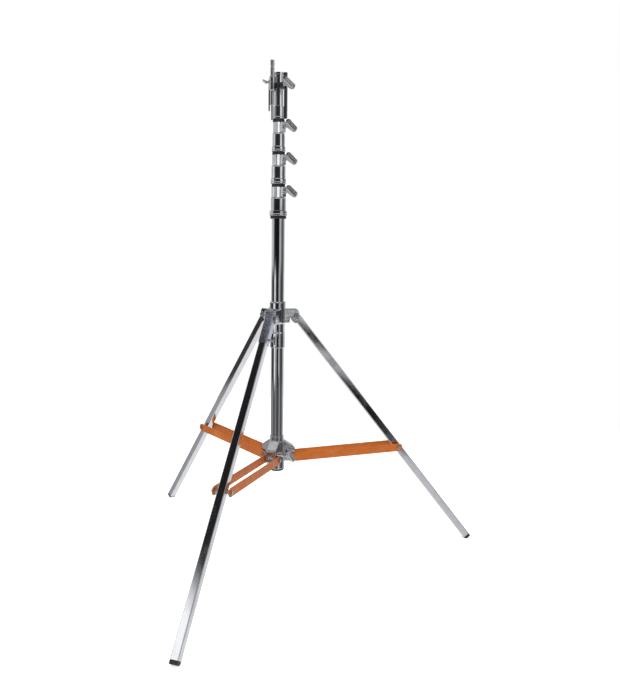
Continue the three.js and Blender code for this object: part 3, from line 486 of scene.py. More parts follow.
def upright_plate(outline, thickness):
    """A plate cut to an outline of [out, up] points, standing on edge across the Y axis."""
    form = bmesh.new()
    face = form.faces.new([form.verts.new((out, -thickness / 2, up)) for out, up in outline])
    swept = bmesh.ops.extrude_face_region(form, geom=[face])
    corners = [item for item in swept["geom"] if isinstance(item, bmesh.types.BMVert)]
    bmesh.ops.translate(form, verts=corners, vec=(0, thickness, 0))
    bmesh.ops.recalc_face_normals(form, faces=form.faces)
    return form


def round_bar(radius, low, high, steps=48, place=Matrix()):
    """A plain bar along Z between two heights, then put in place."""
    form = bmesh.new()
    middle = shift(0, 0, (high + low) / 2)
    bmesh.ops.create_cone(form, cap_ends=True, segments=steps, radius1=radius, radius2=radius,
                          depth=high - low, matrix=place @ middle)
    return form


def square_bar(low, high):
    """A plain block between two corners."""
    form = bmesh.new()
    size = Vector(high) - Vector(low)
    middle = (Vector(high) + Vector(low)) / 2
    bmesh.ops.create_cube(form, size=1, matrix=Matrix.Translation(middle) @ Matrix.Diagonal((*size, 1)))
    return form


def moved(form, place):
    form.transform(place)
    return form


def workpiece(form):
    """A passing object that holds a form while modifiers work on it."""
    mesh = bpy.data.meshes.new("workpiece")
    form.to_mesh(mesh)
    form.free()
    held = bpy.data.objects.new("workpiece", mesh)
    bpy.context.scene.collection.objects.link(held)
    return held


def released(held, others=()):
    """The form that the modifiers on a workpiece leave, with the passing objects cleared away."""
    bpy.context.view_layer.update()
    result = held.evaluated_get(bpy.context.evaluated_depsgraph_get())
    form = bmesh.new()
    form.from_mesh(result.to_mesh())
    result.to_mesh_clear()
    for item in [held, *others]:
        mesh = item.data
        bpy.data.objects.remove(item)
        bpy.data.meshes.remove(mesh)
    return form


def fitted(solids, cores=()):
    """One solid: the forms joined, and the cores cut out of them."""
    held = workpiece(solids[0])
    tools = []
    for operation, forms in (("UNION", solids[1:]), ("DIFFERENCE", cores)):
        for form in forms:
            tool = workpiece(form)
            cut = held.modifiers.new("cut", "BOOLEAN")
            cut.operation, cut.solver, cut.object = operation, "EXACT", tool
            tools.append(tool)
    return released(held, tools)


def cast(form, grain, softening=4):
    """A casting's surface: creases filled and corners rubbed down, at a grain in millimetres."""
    held = workpiece(form)
    mould = held.modifiers.new("mould", "REMESH")
    mould.mode, mould.voxel_size = "VOXEL", grain
    form = released(held)
    for _ in range(softening):
        bmesh.ops.smooth_vert(form, verts=form.verts, factor=0.5, use_axis_x=True, use_axis_y=True,
                              use_axis_z=True)
    return form


def plated_casting(name, tint, roughness, grain, skin_depth):
    """Plating over a cast skin that is uneven by skin_depth in metres."""
    material, tree, shader, place = new_finish(name, 1.0)
    marks = group_node(tree, handling, place, Spread=38.0, Scratches=800.0)
    uneven = group_node(tree, skin, place, Grain=grain, Waves=90.0)
    patched = tinted(tree, uneven.outputs["Patches"], tint, shade(tint, 0.9))
    colour = tinted(tree, marks.outputs["Smudge"], patched, shade(tint, 0.78))
    tree.links.new(colour, shader.inputs["Base Color"])
    patchy = between(tree, uneven.outputs["Patches"], roughness, roughness + 0.07)
    tree.links.new(patchy, shader.inputs["Roughness"])
    bumped(tree, shader, uneven.outputs["Height"], skin_depth, 0.6)
    return material


frame_casting = plated_casting("frame_casting", (0.86, 0.87, 0.89), 0.03, 70.0, 0.00016)
skirt_foot, waist_foot, head_foot, head_top = 846.0, 905.0, 944.0, 1027.0
skirt_radius, waist_radius, head_radius, collar_bore = 29.0, 28.0, 31.0, 25.3
collar_solids = [turned_form([
    (0, skirt_foot), (skirt_radius - 1.2, skirt_foot), (skirt_radius, skirt_foot + 1.2),
    (skirt_radius, waist_foot), (waist_radius, waist_foot + 1.2), (waist_radius, head_foot - 2.5),
    (head_radius, head_foot), (head_radius, head_top - 2.5), (head_radius - 2.5, head_top), (0, head_top),
])]
collar_cores = [round_bar(collar_bore, skirt_foot - 6, head_top + 6, 128)]
ear_outline = [
    (14, head_foot), (44, 944.2), (48.1, 969), (61, 947), (66.3, 942), (73.2, 942), (78, 947), (82.5, 964.9),
    (82.5, 985), (76, 998), (14, 998),
]
for side, bearing in leg_bearings.items():
    ear_place = leg_gaps[side] / 2 + ear_play + ear_thickness / 2
    for way in (-1, 1):
        ear = eased(upright_plate(ear_outline, ear_thickness), 0.9)
        collar_solids.append(moved(ear, round_about(bearing) @ shift(0, way * ear_place, 0)))
        boss = round_bar(9.5, 0, ear_thickness / 2 + 0.2, 36, turn("X", -90 * way))
        boss_place = shift(leg_pivot_radius, way * ear_place, leg_pivot_height)
        collar_solids.append(moved(boss, round_about(bearing) @ boss_place))
    web = square_bar((14, -ear_place, head_foot), (42, ear_place, 990))
    collar_solids.append(moved(eased(web, 1.5), round_about(bearing)))
leg_collar = cast(fitted(collar_solids, collar_cores), 1.15)
finished(leg_collar, "leg_collar_casting", frame_casting, "stand_base", ["leg_collar"],
         crease_deg=50)

# Each leg hangs on a zinc plated bolt through its two ears, with a hexagon head on one side, a nut
# on the other, and a washer under each.
bolt_zinc = plated_casting("bolt_zinc", (0.60, 0.61, 0.62), 0.24, 1400.0, 0.00005)
bolt_radius, hexagon_radius, hexagon_height = 5.0, 8.5, 6.0
washer_radius, washer_thickness = 8.4, 1.0


def hexagon_end(seat, end):
    """A washer and a chamfered hexagon on a bolt along Z, from its seat to its end."""
    washer = round_bar(washer_radius, seat, seat + washer_thickness, 48)
    hexagon = eased(round_bar(hexagon_radius, seat + washer_thickness, end, 6), 0.5)
    chamfer = turned_form([(0, seat), (9.2, seat), (9.2, end - 1.6), (6.9, end), (0, end)], steps=48)
    turned_down = fitted([hexagon], [fitted([round_bar(12, seat - 1, end + 1, 48)], [chamfer])])
    return fitted([turned_down, washer])


def through_bolt(half_stack):
    seat, end = half_stack + 0.3, half_stack + 0.3 + hexagon_height
    head = hexagon_end(seat, end)
    nut = moved(hexagon_end(seat, end), turn("X", 180))
    shank = round_bar(bolt_radius, -end + 1.2, end - 2.5, 32)
    return fitted([shank, head, nut])


across = turn("X", -90)
for side, bearing in leg_bearings.items():
    half_stack = leg_gaps[side] / 2 + ear_play + ear_thickness
    place = round_about(bearing, leg_pivot_radius, leg_pivot_height) @ across
    finished(through_bolt(half_stack), f"leg_{side}_bolt_and_nut", bolt_zinc, "stand_base",
             [f"leg_{side}_pivot_bolt"], place, 30)

# The legs are square steel tubes, chrome plated. The right and left ones pivot in the ears themselves.
# The front one slides in a wider square sleeve that pivots in its ears, so that leg can be lengthened.
leg_lean = 38.3
leg_width, leg_tube_wall = 28.0, 2.0
leg_foot, plain_leg_head, levelling_leg_head = -1221.9, 13.0, -7.5


def rolled_bar(low, high, corner, segments, axis="z"):
    """A block whose edges along one axis are rolled to a corner radius."""
    bar = square_bar(low, high)
    lengthways = [edge for edge in bar.edges
                  if abs(getattr(edge.verts[0].co, axis) - getattr(edge.verts[1].co, axis)) > 1]
    return rounded(bar, lengthways, corner, segments)


def square_tube(width, wall, corner, low, high):
    """A square tube along Z with rolled corners and an open bore."""
    half, half_bore = width / 2, width / 2 - wall
    outside = rolled_bar((-half, -half, low), (half, half, high), corner, 6)
    bore = rolled_bar((-half_bore, -half_bore, low - 5), (half_bore, half_bore, high + 5),
                      max(0.6, corner - wall), 3)
    return fitted([outside], [bore])


def leg_place(side):
    """The frame of a leg: its pivot, with the leg running down Z."""
    return round_about(leg_bearings[side], leg_pivot_radius, leg_pivot_height) @ turn("Y", -leg_lean)


for side in leg_bearings:
    head = levelling_leg_head if side == "front" else plain_leg_head
    straight = leg_place(side).to_3x3().inverted().to_euler()
    leg_chrome = chrome_plate(f"leg_{side}_chrome", tuple(straight), (0.80, 0.81, 0.84), 0.06)
    tube = square_tube(leg_width, leg_tube_wall, 3.0, leg_foot, head)
    finished(tube, f"leg_{side}_square_tube", leg_chrome, f"leg_{side}", [f"leg_{side}_tube"],
             leg_place(side))

# At each brace joint a zinc plated spacer bar goes right through the leg and keeps the two brace
# plates apart. It is turned down where it passes through the tube.
brace_joint, spacer_end, spacer_step, spacer_radius = 697.0, 28.0, 14.3, 8.0
spacer_half = [
    (0, spacer_end), (spacer_radius, spacer_end), (spacer_radius, spacer_step), (bolt_radius, spacer_step),
]
spacer_profile = [(radius, -along_bar) for radius, along_bar in spacer_half] + spacer_half[::-1]
for side in leg_bearings:
    spacer = turned_form(spacer_profile, steps=48)
    place = leg_place(side) @ shift(0, 0, -brace_joint) @ across
    finished(eased(spacer, 0.5), f"leg_{side}_spacer_bar", bolt_zinc, f"leg_{side}",
             [f"leg_{side}_brace_spacer"], place, 30)

# A moulded rubber plug closes the foot of each leg. It is as wide as the square tube, has a rounded end,
# and its sole is cut level with the floor.
black_rubber = moulded_black("moulded_black_rubber", (0.008, 0.008, 0.008), (0.022, 0.021, 0.02), 0.42, 900.0)
cap_sole, cap_lip, cap_inner_end = -1235.2, -1222.2, -1204.9
cap_half, grip_half = leg_width / 2, 11.7
for side in leg_bearings:
    cap = rolled_bar((-cap_half, -cap_half, cap_sole), (cap_half, cap_half, cap_lip), 3, 6)
    floor_slab = moved(square_bar((-900, -900, -60), (900, 900, 0)), leg_place(side).inverted())
    cap = eased(fitted([cap], [floor_slab]), 1.6)
    grip = square_bar((-grip_half, -grip_half, cap_lip - 5), (grip_half, grip_half, cap_inner_end))
    finished(fitted([cap, eased(grip, 1.2)]), f"leg_{side}_rubber_cap", black_rubber,
             f"leg_{side}", [f"leg_{side}_foot_cap"], leg_place(side))

# The levelling sleeve is a short length of wider square tube, chrome plated, with a round boss brazed
# on its side for the lock knob.
sleeve_chrome = plated_casting("sleeve_chrome", (0.74, 0.77, 0.90), 0.16, 90.0, 0.00028)
sleeve_width, sleeve_wall, sleeve_foot, sleeve_head = 34.0, 2.5, -122.0, 14.0
level_lock_place, level_boss_face = -105.0, 23.0
level_boss = round_bar(6.5, 15.75, level_boss_face, 40, shift(0, 0, level_lock_place) @ across)
sleeve_tube = square_tube(sleeve_width, sleeve_wall, 4.0, sleeve_foot, sleeve_head)
finished(fitted([sleeve_tube, eased(level_boss, 0.6)]), "levelling_square_sleeve", sleeve_chrome,
         "leg_front_sleeve", ["levelling_sleeve"], leg_place("front"))

# The levelling leg is locked by a small die-cast wing knob on a screw. All the stand's handles are
# cast this way: a thick wing with a dished face on each side and a round neck that holds the screw.
handle_alloy = plated_casting("handle_alloy", (0.62, 0.63, 0.65), 0.10, 400.0, 0.00003)
wing_shape = [(0.0, 0.2), (0.3, 0.74), (0.46, 0.94), (0.62, 1.0), (0.84, 0.96), (1.0, 0.74)]
groove_depth, groove_half = 2.4, 1.3


def winged_handle(tip, face, reach, screw, neck, waist, length, depth, thickness, edge, dish, grain,
                  grooves=()):
    """A wing on its screw: the screw runs out along X from its tip, and the wing's middle is at reach."""
    inner, half = reach - depth / 2, length / 2
    upper = [(inner + out * depth, up * half) for out, up in wing_shape]
    outline = [(out, -up) for out, up in upper] + upper[::-1]
    wing = upright_plate(outline, thickness)
    flats = [side for side in wing.faces if abs(side.normal.y) > 0.9]
    bmesh.ops.inset_individual(wing, faces=flats, thickness=dish * 2.2, depth=0)
    flats = [side for side in wing.faces if abs(side.normal.y) > 0.9 and len(side.verts) == len(outline)]
    bmesh.ops.inset_individual(wing, faces=flats, thickness=dish * 0.8, depth=-dish)
    outer = [line for line in folds(wing, 60)
             if all(abs(abs(corner.co.y) - thickness / 2) < 0.01 for corner in line.verts)
             and any(abs(side.normal.y) < 0.5 for side in line.link_faces)]
    rounded(wing, outer, edge)
    around = square_bar((inner - 5, -thickness, -length), (inner + depth + 5, thickness, length))
    oval = rolled_bar((inner - 9, -thickness / 2, -half), (inner + depth + 9, thickness / 2, half),
                      thickness * 0.4, 8, "x")
    wing = fitted([wing], [fitted([around], [oval])])
    ridges = [square_bar((inner + depth - groove_depth, middle - groove_half, -0.68 * half),
                         (inner + depth + 5, middle + groove_half, 0.68 * half)) for middle in grooves]
    bite = inner + depth * 0.36
    shank = turned_form([
        (0, tip), (screw / 2 - 0.4, tip), (screw / 2, tip + 0.5), (screw / 2, face), (neck / 2 - 0.6, face),
        (neck / 2, face + 0.6), (neck / 2, face + neck / 2), (waist / 2, (face + inner) / 2 + 1),
        (waist / 2, bite), (0, bite),
    ], steps=40)
    return cast(fitted([moved(shank, turn("Y", 90)), wing], ridges), grain, 3)


def knob_with(tip, boss_face, reach, length):
    return winged_handle(tip, boss_face + 1, boss_face + reach, screw=6, neck=8, waist=8, length=length,
                         depth=11, thickness=7, edge=1.5, dish=0.6, grain=0.45)


# The hollows of the handles get a painted dark shade, and their rims are painted lighter, as wear and as a
# painted highlight.
tree = handle_alloy.node_tree
sharpness = add_node(tree, "ShaderNodeNewGeometry").outputs["Pointiness"]
shader = tree.nodes["Principled BSDF"]
cast_tone = shader.inputs["Base Color"].links[0].from_socket
# Painted shade: where pointiness is low, in the hollows, the colour is darkened as if they lay in shadow.
with_painted_hollow_shade = tinted(tree, stretched(tree, sharpness, 0.46, 0.50), (0.10, 0.10, 0.105), cast_tone)
# Where pointiness is high, on the rims, the colour is lighter: partly wear, partly a painted highlight.
with_wear_and_painted_highlight_rims = tinted(tree, stretched(tree, sharpness, 0.505, 0.54), with_painted_hollow_shade, (0.90, 0.90, 0.91))
tree.links.new(with_wear_and_painted_highlight_rims, shader.inputs["Base Color"])

level_knob = knob_with(14.3, level_boss_face, 17, 36)
level_knob_place = leg_place("front") @ shift(0, 0, level_lock_place) @ turn("Z", 90) @ turn("X", 25)
finished(level_knob, "levelling_wing_knob", handle_alloy, "levelling_screw",
         ["levelling_lock_knob"], level_knob_place, 50)

# The brace hub is a plated casting that slides on the base tube and stands on the plug's flange.
# Each of its three lugs is cored out at the end, where the bolt for a pair of braces passes.
hub_foot, hub_waist, hub_top = 357.3, 468.3, 491.3
hub_radius, hub_neck_radius, hub_bore = 30.5, 27.5, 25.5
hub_pivot_radius, hub_pivot_height = 55.0, 405.0
hub_casting = plated_casting("hub_casting", (0.78, 0.79, 0.81), 0.05, 70.0, 0.00014)
hub_solids = [turned_form([
    (0, hub_foot), (hub_radius - 2, hub_foot), (hub_radius, hub_foot + 2), (hub_radius, hub_waist),
    (hub_neck_radius, hub_waist + 2), (hub_neck_radius, hub_top - 1), (hub_neck_radius - 1, hub_top),
    (0, hub_top),
])]
hub_cores = [round_bar(hub_bore, hub_foot - 6, hub_top + 5.7, 128)]
lug_outline = ([(14.25, 389)] + arc_points(61, 398, 9, -90, 0, 6) + arc_points(61, 440, 9, 0, 72, 6)
               + [(28.5, 472), (14.25, 472)])
for bearing in leg_bearings.values():
    lug = eased(upright_plate(lug_outline, 44), 1.6)
    hub_solids.append(moved(lug, round_about(bearing)))
    eye = eased(round_bar(11, -28, 28, 48, across), 0.8)
    hub_solids.append(moved(eye, round_about(bearing, hub_pivot_radius, hub_pivot_height)))
    pocket = eased(square_bar((48, -12, 411), (78, 12, 438)), 2.5)
    hub_cores.append(moved(pocket, round_about(bearing)))
hub_clamp_bearing, hub_clamp_height, hub_boss_face = -42.0, 419.0, 40.0
hub_boss = eased(round_bar(9, 20, hub_boss_face, 48, turn("Y", 90)), 1.0)
hub_solids.append(moved(hub_boss, round_about(hub_clamp_bearing, 0, hub_clamp_height)))
hub = cast(fitted(hub_solids, hub_cores), 1.1)
finished(hub, "brace_hub_casting", hub_casting, "hub", ["brace_hub"], crease_deg=50)


def t_handle(tip, lug_face, length=57):
    return winged_handle(tip, lug_face + 1, lug_face + 35, screw=8, neck=13, waist=10, length=length,
                         depth=22, thickness=21, edge=4, dish=1.3, grain=0.62, grooves=(-4.6, 0, 4.6))


# A die-cast T-handle clamps the hub on the tube. It is a little shorter than the others, and its screw
# runs in the boss on the hub's side.
hub_handle_place = round_about(hub_clamp_bearing, 0, hub_clamp_height) @ turn("X", 40)
finished(t_handle(25.3, hub_boss_face, 56), "hub_t_handle_casting", handle_alloy, "hub_screw",
         ["hub_t_handle"], hub_handle_place, 50)

# A zinc plated bolt with a nut carries each pair of braces on the hub. It passes through the eye of
# the lug, with a plate on either side.
for side, bearing in leg_bearings.items():
    place = round_about(bearing, hub_pivot_radius, hub_pivot_height) @ across
    finished(through_bolt(31.5), f"hub_{side}_bolt_and_nut", bolt_zinc, "hub",
             [f"hub_bolt_{side}"], place, 30)

# Each leg is braced by two flat steel plates with round ends, painted orange with a hammered gloss.
# The paint is chipped to bare grey steel along the edges, and handling leaves darker smudges on it.
hammered, given, result = surface_group("hammered_paint", {"Dents": 420.0}, ["Height", "Tone"])
dents = add_node(hammered, "ShaderNodeTexVoronoi",
                 {"Vector": given.outputs["Place"], "Scale": given.outputs["Dents"]}, feature="SMOOTH_F1")
hammered.links.new(dents.outputs["Distance"], result.inputs["Height"])
tones = noise(hammered, given.outputs["Place"], 14.0, 5.0)
hammered.links.new(stretched(hammered, tones, 0.35, 0.65), result.inputs["Tone"])

brace_paint, tree, shader, place = new_finish("orange_brace_paint", 0.0)
dented = group_node(tree, hammered, place)
marks = group_node(tree, handling, place, Spread=35.0, Scratches=700.0)
uneven = group_node(tree, skin, place, Grain=500.0, Waves=70.0)
fresh = tinted(tree, dented.outputs["Tone"], (0.52, 0.145, 0.024), (0.42, 0.108, 0.018))
handled = tinted(tree, between(tree, marks.outputs["Smudge"], 0.0, 0.5), fresh, (0.34, 0.10, 0.03))
sharpness = add_node(tree, "ShaderNodeNewGeometry").outputs["Pointiness"]
chipped = reckoned(tree, "MULTIPLY", stretched(tree, sharpness, 0.52, 0.60), uneven.outputs["Patches"])
bare = reckoned(tree, "GREATER_THAN", chipped, 0.45)
chipped_paint = tinted(tree, between(tree, bare, 0.0, 0.8), handled, (0.30, 0.29, 0.28))
tree.links.new(chipped_paint, shader.inputs["Base Color"])
tree.links.new(between(tree, marks.outputs["Smudge"], 0.24, 0.42), shader.inputs["Roughness"])
shader.inputs["Specular IOR Level"].default_value = 0.15
shader.inputs["Coat Weight"].default_value = 0.03
shader.inputs["Coat Roughness"].default_value = 0.12
bumped(tree, shader, dented.outputs["Height"], 0.0003, 0.35)

brace_height, brace_thickness, brace_spacing = 32.0, 3.0, 60.0
joint_radius = leg_pivot_radius + brace_joint * math.sin(math.radians(leg_lean))
joint_height = leg_pivot_height - brace_joint * math.cos(math.radians(leg_lean))
brace_run, brace_rise = joint_radius - hub_pivot_radius, joint_height - hub_pivot_height
brace_length = math.hypot(brace_run, brace_rise)


def brace_place(side):
    """The frame of a pair of braces: its hub bolt, with the plates running out along X."""
    slope = Matrix.Rotation(-math.atan2(brace_rise, brace_run), 4, "Y")
    return round_about(leg_bearings[side], hub_pivot_radius, hub_pivot_height) @ slope


def brace_plate():
    half = brace_height / 2
    outline = arc_points(0, 0, half, 90, 270, 24) + arc_points(brace_length, 0, half, -90, 90, 24)
    plate = eased(upright_plate(outline, brace_thickness), 0.5)
    holes = [round_bar(5.3, -5, 5, 32, shift(out, 0, 0) @ across) for out in (0, brace_length)]
    plate = fitted([plate], holes)
    for step in range(1, 24):
        bmesh.ops.bisect_plane(plate, geom=plate.verts[:] + plate.edges[:] + plate.faces[:],
                               plane_co=(brace_length * step / 24, 0, 0), plane_no=(1, 0, 0))
    return plate


for side in leg_bearings:
    for hand, way in (("near", -1), ("far", 1)):
        place = brace_place(side) @ shift(0, way * brace_spacing / 2, 0)
        finished(brace_plate(), f"brace_{side}_{hand}_flat", brace_paint, f"brace_{side}",
                 [f"brace_{side}_{hand}_plate"], place)
        end = round_bar(bolt_radius, 28.8, 34.8, 32)
        fastener = fitted([end, hexagon_end(31.8, 37.8)])
        node = f"brace_{side}_leg_bolt" if hand == "near" else f"brace_{side}_leg_nut"
        place = brace_place(side) @ shift(brace_length, 0, 0) @ turn("X", -90 * way)
        finished(fastener, f"{node}_hexagon", bolt_zinc, f"brace_{side}", [node], place, 30)

# The risers slide in one another. Each is a drawn tube like the base, with its foot still inside the
# tube below when it is fully out.
riser_diameters = [45.0, 40.0, 35.0]
riser_feet = [387.0, 506.1, 625.2]
riser_tops = [1536.1, 1655.2, 1753.3]
for number, (diameter, foot, top) in enumerate(zip(riser_diameters, riser_feet, riser_tops), 1):
    finished(column_tube(diameter, foot, top), f"riser_{number}_chrome", column_chrome,
             f"riser_{number}", [f"riser_{number}_tube"])

# A plated casting is pressed on the top of the base and of the first two risers. It has a wide lip,
# a sloped shoulder and a plain body, then a narrower clamp part with a square lug that carries the screw.
collar_feet = [1355.3, 1474.4, 1593.5]
collar_lips, collar_bodies, collar_clamps = [67.0, 58.0, 51.5], [57.5, 53.0, 46.6], [53.0, 48.0, 42.5]
collar_sockets = [50.6, 45.6, 40.6]
collar_bearers = ["stand_base", "riser_1", "riser_2"]
clamp_bearing, clamp_rise, collar_length = -48.0, 88.0, 108.0
socket_depth, shoulder_rise, lug_depth, boss_depth = 62.0, 67.0, 9.0, 4.0
collar_plate = plated_casting("collar_plate", (0.80, 0.81, 0.83), 0.03, 300.0, 0.000006)

# The clamp part's skin is given a slight tilt, so it mirrors the windows high in the room.
clamp_plate = plated_casting("clamp_plate", (0.84, 0.845, 0.85), 0.03, 300.0, 0.000006)
clamp_slope = -0.14
tree = clamp_plate.node_tree
place = add_node(tree, "ShaderNodeTexCoord").outputs["Object"]
height = add_node(tree, "ShaderNodeSeparateXYZ", {0: place}).outputs["Z"]
bumped(tree, tree.nodes["Principled BSDF"], reckoned(tree, "MULTIPLY", height, clamp_slope), 1.0, 1.0)
for index, foot in enumerate(collar_feet):
    number = index + 1
    lip, body, clamp = collar_lips[index] / 2, collar_bodies[index] / 2, collar_clamps[index] / 2
    barrel = turned_form([
        (0, 0), (lip - 1.2, 0), (lip, 1.2), (lip, 5.2), (lip - 0.6, 5.8), (lip - 0.6, 7.0), (lip, 7.6),
        (lip, 17), (body, 19.5), (body, 62.5), (body - 0.7, 63.2), (body - 0.7, 64), (body, 64.7),
        (body, shoulder_rise - 1), (clamp, shoulder_rise + 1), (clamp, collar_length - 1.2),
        (clamp - 1.2, collar_length), (0, collar_length),
    ], steps=128, foot=foot)
    eased(barrel, 0.5)
    lug_face = clamp + lug_depth
    lug = square_bar((clamp / 2, -10, foot + clamp_rise - 19.4), (lug_face, 10, foot + clamp_rise + 19.4))
    boss = round_bar(7.5, clamp, lug_face + boss_depth, 48, turn("Y", 90))
    boss = moved(eased(boss, 0.8), shift(0, 0, foot + clamp_rise))
    lug_and_boss = moved(fitted([eased(lug, 2.5), boss]), round_about(clamp_bearing))
    bores = [round_bar(collar_sockets[index] / 2, foot - 6, foot + socket_depth, 128),
             round_bar(riser_diameters[index] / 2 + 0.5, foot + 56, foot + 114, 128)]
    collar = finished(fitted([barrel, lug_and_boss], bores), f"collar_{number}_casting", collar_plate,
                      collar_bearers[index], [f"collar_{number}"])
    collar.data.materials.append(clamp_plate)
    clamp_foot = (foot + shoulder_rise + 1000 * floor_height) / 1000
    for face in collar.data.polygons:
        face.material_index = int(face.center.z > clamp_foot)

# A turned brass brake pad lies in each collar, between the screw's tip and the riser. It can't be seen
# from outside, so it keeps its CAD shape and only gets its finish.
brake_brass, tree, shader, place = new_finish("brake_brass", 1.0)
marks = group_node(tree, handling, place, Spread=120.0, Scratches=2200.0)
brass_tone = tinted(tree, marks.outputs["Smudge"], (0.70, 0.50, 0.22), (0.48, 0.34, 0.17))
tree.links.new(brass_tone, shader.inputs["Base Color"])
tree.links.new(between(tree, marks.outputs["Scratch"], 0.25, 0.5), shader.inputs["Roughness"])
for number in (1, 2, 3):
    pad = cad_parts[f"collar_{number}_brake_pad"]
    pad.data.materials.clear()
    pad.data.materials.append(brake_brass)

# Each collar's T-handle turns its screw against the pad. The three are die-cast and alike, and stand
# at the same tilt.
handle_tilt = 56
for index, foot in enumerate(collar_feet):
    number = index + 1
    pad_face = riser_diameters[index] / 2 + 3.1
    boss_face = collar_clamps[index] / 2 + lug_depth + boss_depth
    place = round_about(clamp_bearing, 0, foot + clamp_rise) @ turn("X", handle_tilt)
    finished(t_handle(pad_face, boss_face), f"collar_{number}_t_handle_casting", handle_alloy,
             f"collar_{number}_screw", [f"collar_{number}_t_handle"], place, 50)

# A black moulded ring sits on top of each collar and wipes the riser as it goes down. It has two
# shallow grip grooves round it.
wiper_diameters = [52.0, 48.5, 45.0]
for index, foot in enumerate(collar_feet):
    number = index + 1
    outer, bore = wiper_diameters[index] / 2, riser_diameters[index] / 2 + 0.5
    groove = outer - 0.7
    ring = turned_form([
        (bore, 0), (outer, 0), (outer, 3.0), (groove, 3.5), (groove, 4.3), (outer, 4.8), (outer, 6.2),
        (groove, 6.7), (groove, 7.5), (outer, 8.0), (outer, 9.0), (outer - 1.5, 10.5), (bore, 10.5),
    ], closed=True, foot=foot + collar_length + 0.3)
    finished(eased(ring, 0.25), f"collar_{number}_wiper", black_plastic,
             collar_bearers[index], [f"collar_{number}_wiper_ring"])

# A soft rubber ring sits on the base tube, right under the lowest collar. Its lower edge is bevelled,
# and it takes knocks on the collar's underside.
bumper = turned_form([(25.3, 1344), (29, 1344), (30.5, 1345.5), (30.5, 1355), (25.3, 1355)], closed=True)
finished(eased(bumper, 0.6), "collar_1_bumper", black_rubber, "stand_base",
         ["collar_1_bumper_ring"])

# The receiver is machined from steel and chrome plated: a sleeve over the third riser, a narrower
# socket for a spigot above it, and a rim round the socket's mouth.
receiver_chrome = chrome_plate("receiver_chrome", roughness=0.045)
sleeve_low, sleeve_stop, sleeve_high = 1712.6, 1753.6, 1758.6
socket_floor, rim_low, rim_high = 1800.0, 1872.0, 1880.0
spigot_bore, sleeve_bore, sleeve_radius, socket_radius, rim_radius = 14.3, 17.8, 21.0, 16.5, 18.5
receiver = turned_form([
    (0, socket_floor - 5), (spigot_bore, socket_floor - 5), (spigot_bore, sleeve_stop),
    (sleeve_bore, sleeve_stop), (sleeve_bore, sleeve_low), (sleeve_radius - 1, sleeve_low),
    (sleeve_radius, sleeve_low + 1), (sleeve_radius, 1718.5), (sleeve_radius - 0.5, 1719),
    (sleeve_radius - 0.5, 1720.2), (sleeve_radius, 1720.7), (sleeve_radius, sleeve_high - 1),
    (sleeve_radius - 1, sleeve_high), (socket_radius, sleeve_high), (socket_radius, rim_low),
    (rim_radius, rim_low), (rim_radius, rim_high), (spigot_bore, rim_high), (spigot_bore, socket_floor),
    (0, socket_floor),
], steps=128)
finished(eased(receiver, 0.45), "receiver_socket", receiver_chrome, "riser_3", ["receiver"])

# A black painted steel band is clipped round the receiver. Its square lug holds the screw that
# clamps the spigot.
band_paint = moulded_black("black_band_paint", (0.010, 0.010, 0.011), (0.04, 0.04, 0.042), 0.26, 700.0)
head_clamp_bearing, head_clamp_height = -57.0, 1832.0
band_low, band_high, band_bore, band_radius, band_lug_face = 1822.5, 1841.5, 16.8, 19.8, 31.8
band_ring = turned_form([
    (band_bore, band_low), (band_radius, band_low), (band_radius, band_high), (band_bore, band_high),
], closed=True, steps=128)
band_lug = eased(square_bar((18.5, -9, band_low + 0.2), (band_lug_face, 9, band_high - 0.2)), 1.6)
band_lug = moved(band_lug, round_about(head_clamp_bearing))
band = fitted([eased(band_ring, 0.6), band_lug], [round_bar(band_bore, 1815, 1848, 128)])
finished(band, "receiver_band", band_paint, "riser_3", ["receiver_clamp_band"])
receiver_handle_place = round_about(head_clamp_bearing, 0, head_clamp_height) @ turn("X", handle_tilt)
finished(t_handle(14.8, band_lug_face), "receiver_t_handle_casting", handle_alloy,
         "receiver_screw", ["receiver_t_handle"], receiver_handle_place, 50)

# The safety bar is a flat chromed bar welded to the side of the head. Its ear meets the rim and has
# an eye for a safety wire.
bar_outline = ([(21.3, 1713)] + arc_points(31, 1716, 3, -90, 0, 5) + arc_points(30, 1876.5, 4, 0, 90, 6)
               + arc_points(21.8, 1877.5, 3, 90, 180, 5) + [(18.8, 1853.5), (21.3, 1850.5)])
bar = eased(upright_plate(bar_outline, 6), 0.6)
eye = round_bar(3.25, -6, 6, 32, shift(26, 0, 1863.5) @ across)
finished(fitted([bar], [eye]), "safety_bar_flat", column_chrome, "riser_3", ["safety_bar"],
         round_about(-20))

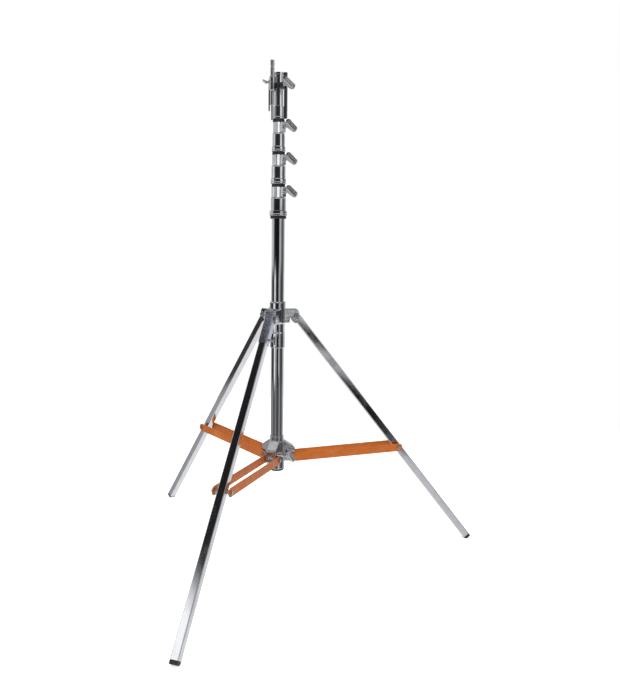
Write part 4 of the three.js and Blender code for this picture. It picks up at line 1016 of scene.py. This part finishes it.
# The pin's housing is a plated casting fixed to the side of the receiver. A slim guide bar hangs
# from it beside the pin's tail.
pin_bearing, pin_out, pin_lock_height, lock_boss_face = 215.0, 29.6, 1840.0, 45.1
housing_low, housing_high, housing_radius = 1811.0, 1864.5, 11.5
housing_casting = plated_casting("housing_casting", (0.72, 0.73, 0.75), 0.10, 300.0, 0.00003)
housing_barrel = turned_form([
    (0, housing_low), (housing_radius - 3, housing_low), (housing_radius, housing_low + 3),
    (housing_radius, housing_high - 3), (housing_radius - 3, housing_high), (0, housing_high),
])
housing_barrel = moved(housing_barrel, shift(pin_out, 0, 0))
housing_web = eased(square_bar((14.5, -6, housing_low), (pin_out, 6, housing_high)), 1.2)
guide_bar = square_bar((8.3, -4, 1738.5), (13.8, 4, 1851))
guide_bar = moved(eased(guide_bar, 0.6), shift(pin_out, 0, 0) @ turn("Z", -35))
lock_boss = round_bar(6.5, pin_out, lock_boss_face, 40, shift(0, 0, pin_lock_height) @ turn("Y", 90))
pin_bore = round_bar(8.3, 1730, 1877, 64, shift(pin_out, 0, 0))
socket_seat = round_bar(socket_radius + 0.3, socket_floor, rim_high, 96)
band_seat = round_bar(band_radius + 0.3, band_low - 0.3, band_high + 0.3, 96)
housing = fitted([housing_barrel, housing_web, guide_bar, lock_boss], [pin_bore, socket_seat, band_seat])
finished(cast(housing, 0.62), "pin_housing_casting", housing_casting, "riser_3", ["pin_housing"],
         round_about(pin_bearing), 50)

# The baby pin is turned steel, chrome plated, with a groove near the top and a thin tail rod. It
# slides in the bore of its housing.
pin_chrome = chrome_plate("pin_chrome", tint=(0.74, 0.75, 0.77), roughness=0.1)
tail_foot, pin_foot, pin_top, tail_radius, pin_radius = 1706.5, 1760.5, 1921.5, 4.5, 8.0
pin = turned_form([
    (0, tail_foot), (tail_radius - 0.5, tail_foot), (tail_radius, tail_foot + 0.5), (tail_radius, pin_foot),
    (pin_radius - 0.8, pin_foot), (pin_radius, pin_foot + 0.8), (pin_radius, 1894.4),
    (pin_radius - 1.5, 1895.4), (pin_radius - 1.5, 1900.6), (pin_radius, 1901.6), (pin_radius, pin_top - 1.5),
    (pin_radius - 1.5, pin_top), (0, pin_top),
], steps=64)
finished(eased(pin, 0.3), "baby_pin_turning", pin_chrome, "sliding_pin", ["baby_pin"],
         round_about(pin_bearing, pin_out))

# A small die-cast wing knob locks the pin at its height. Its screw runs in the boss on the outer side
# of the housing.
pin_knob_place = round_about(pin_bearing, 0, pin_lock_height) @ turn("X", 60)
finished(knob_with(38.2, lock_boss_face, 15, 32), "pin_wing_knob", handle_alloy, "pin_screw",
         ["pin_lock_knob"], pin_knob_place, 50)
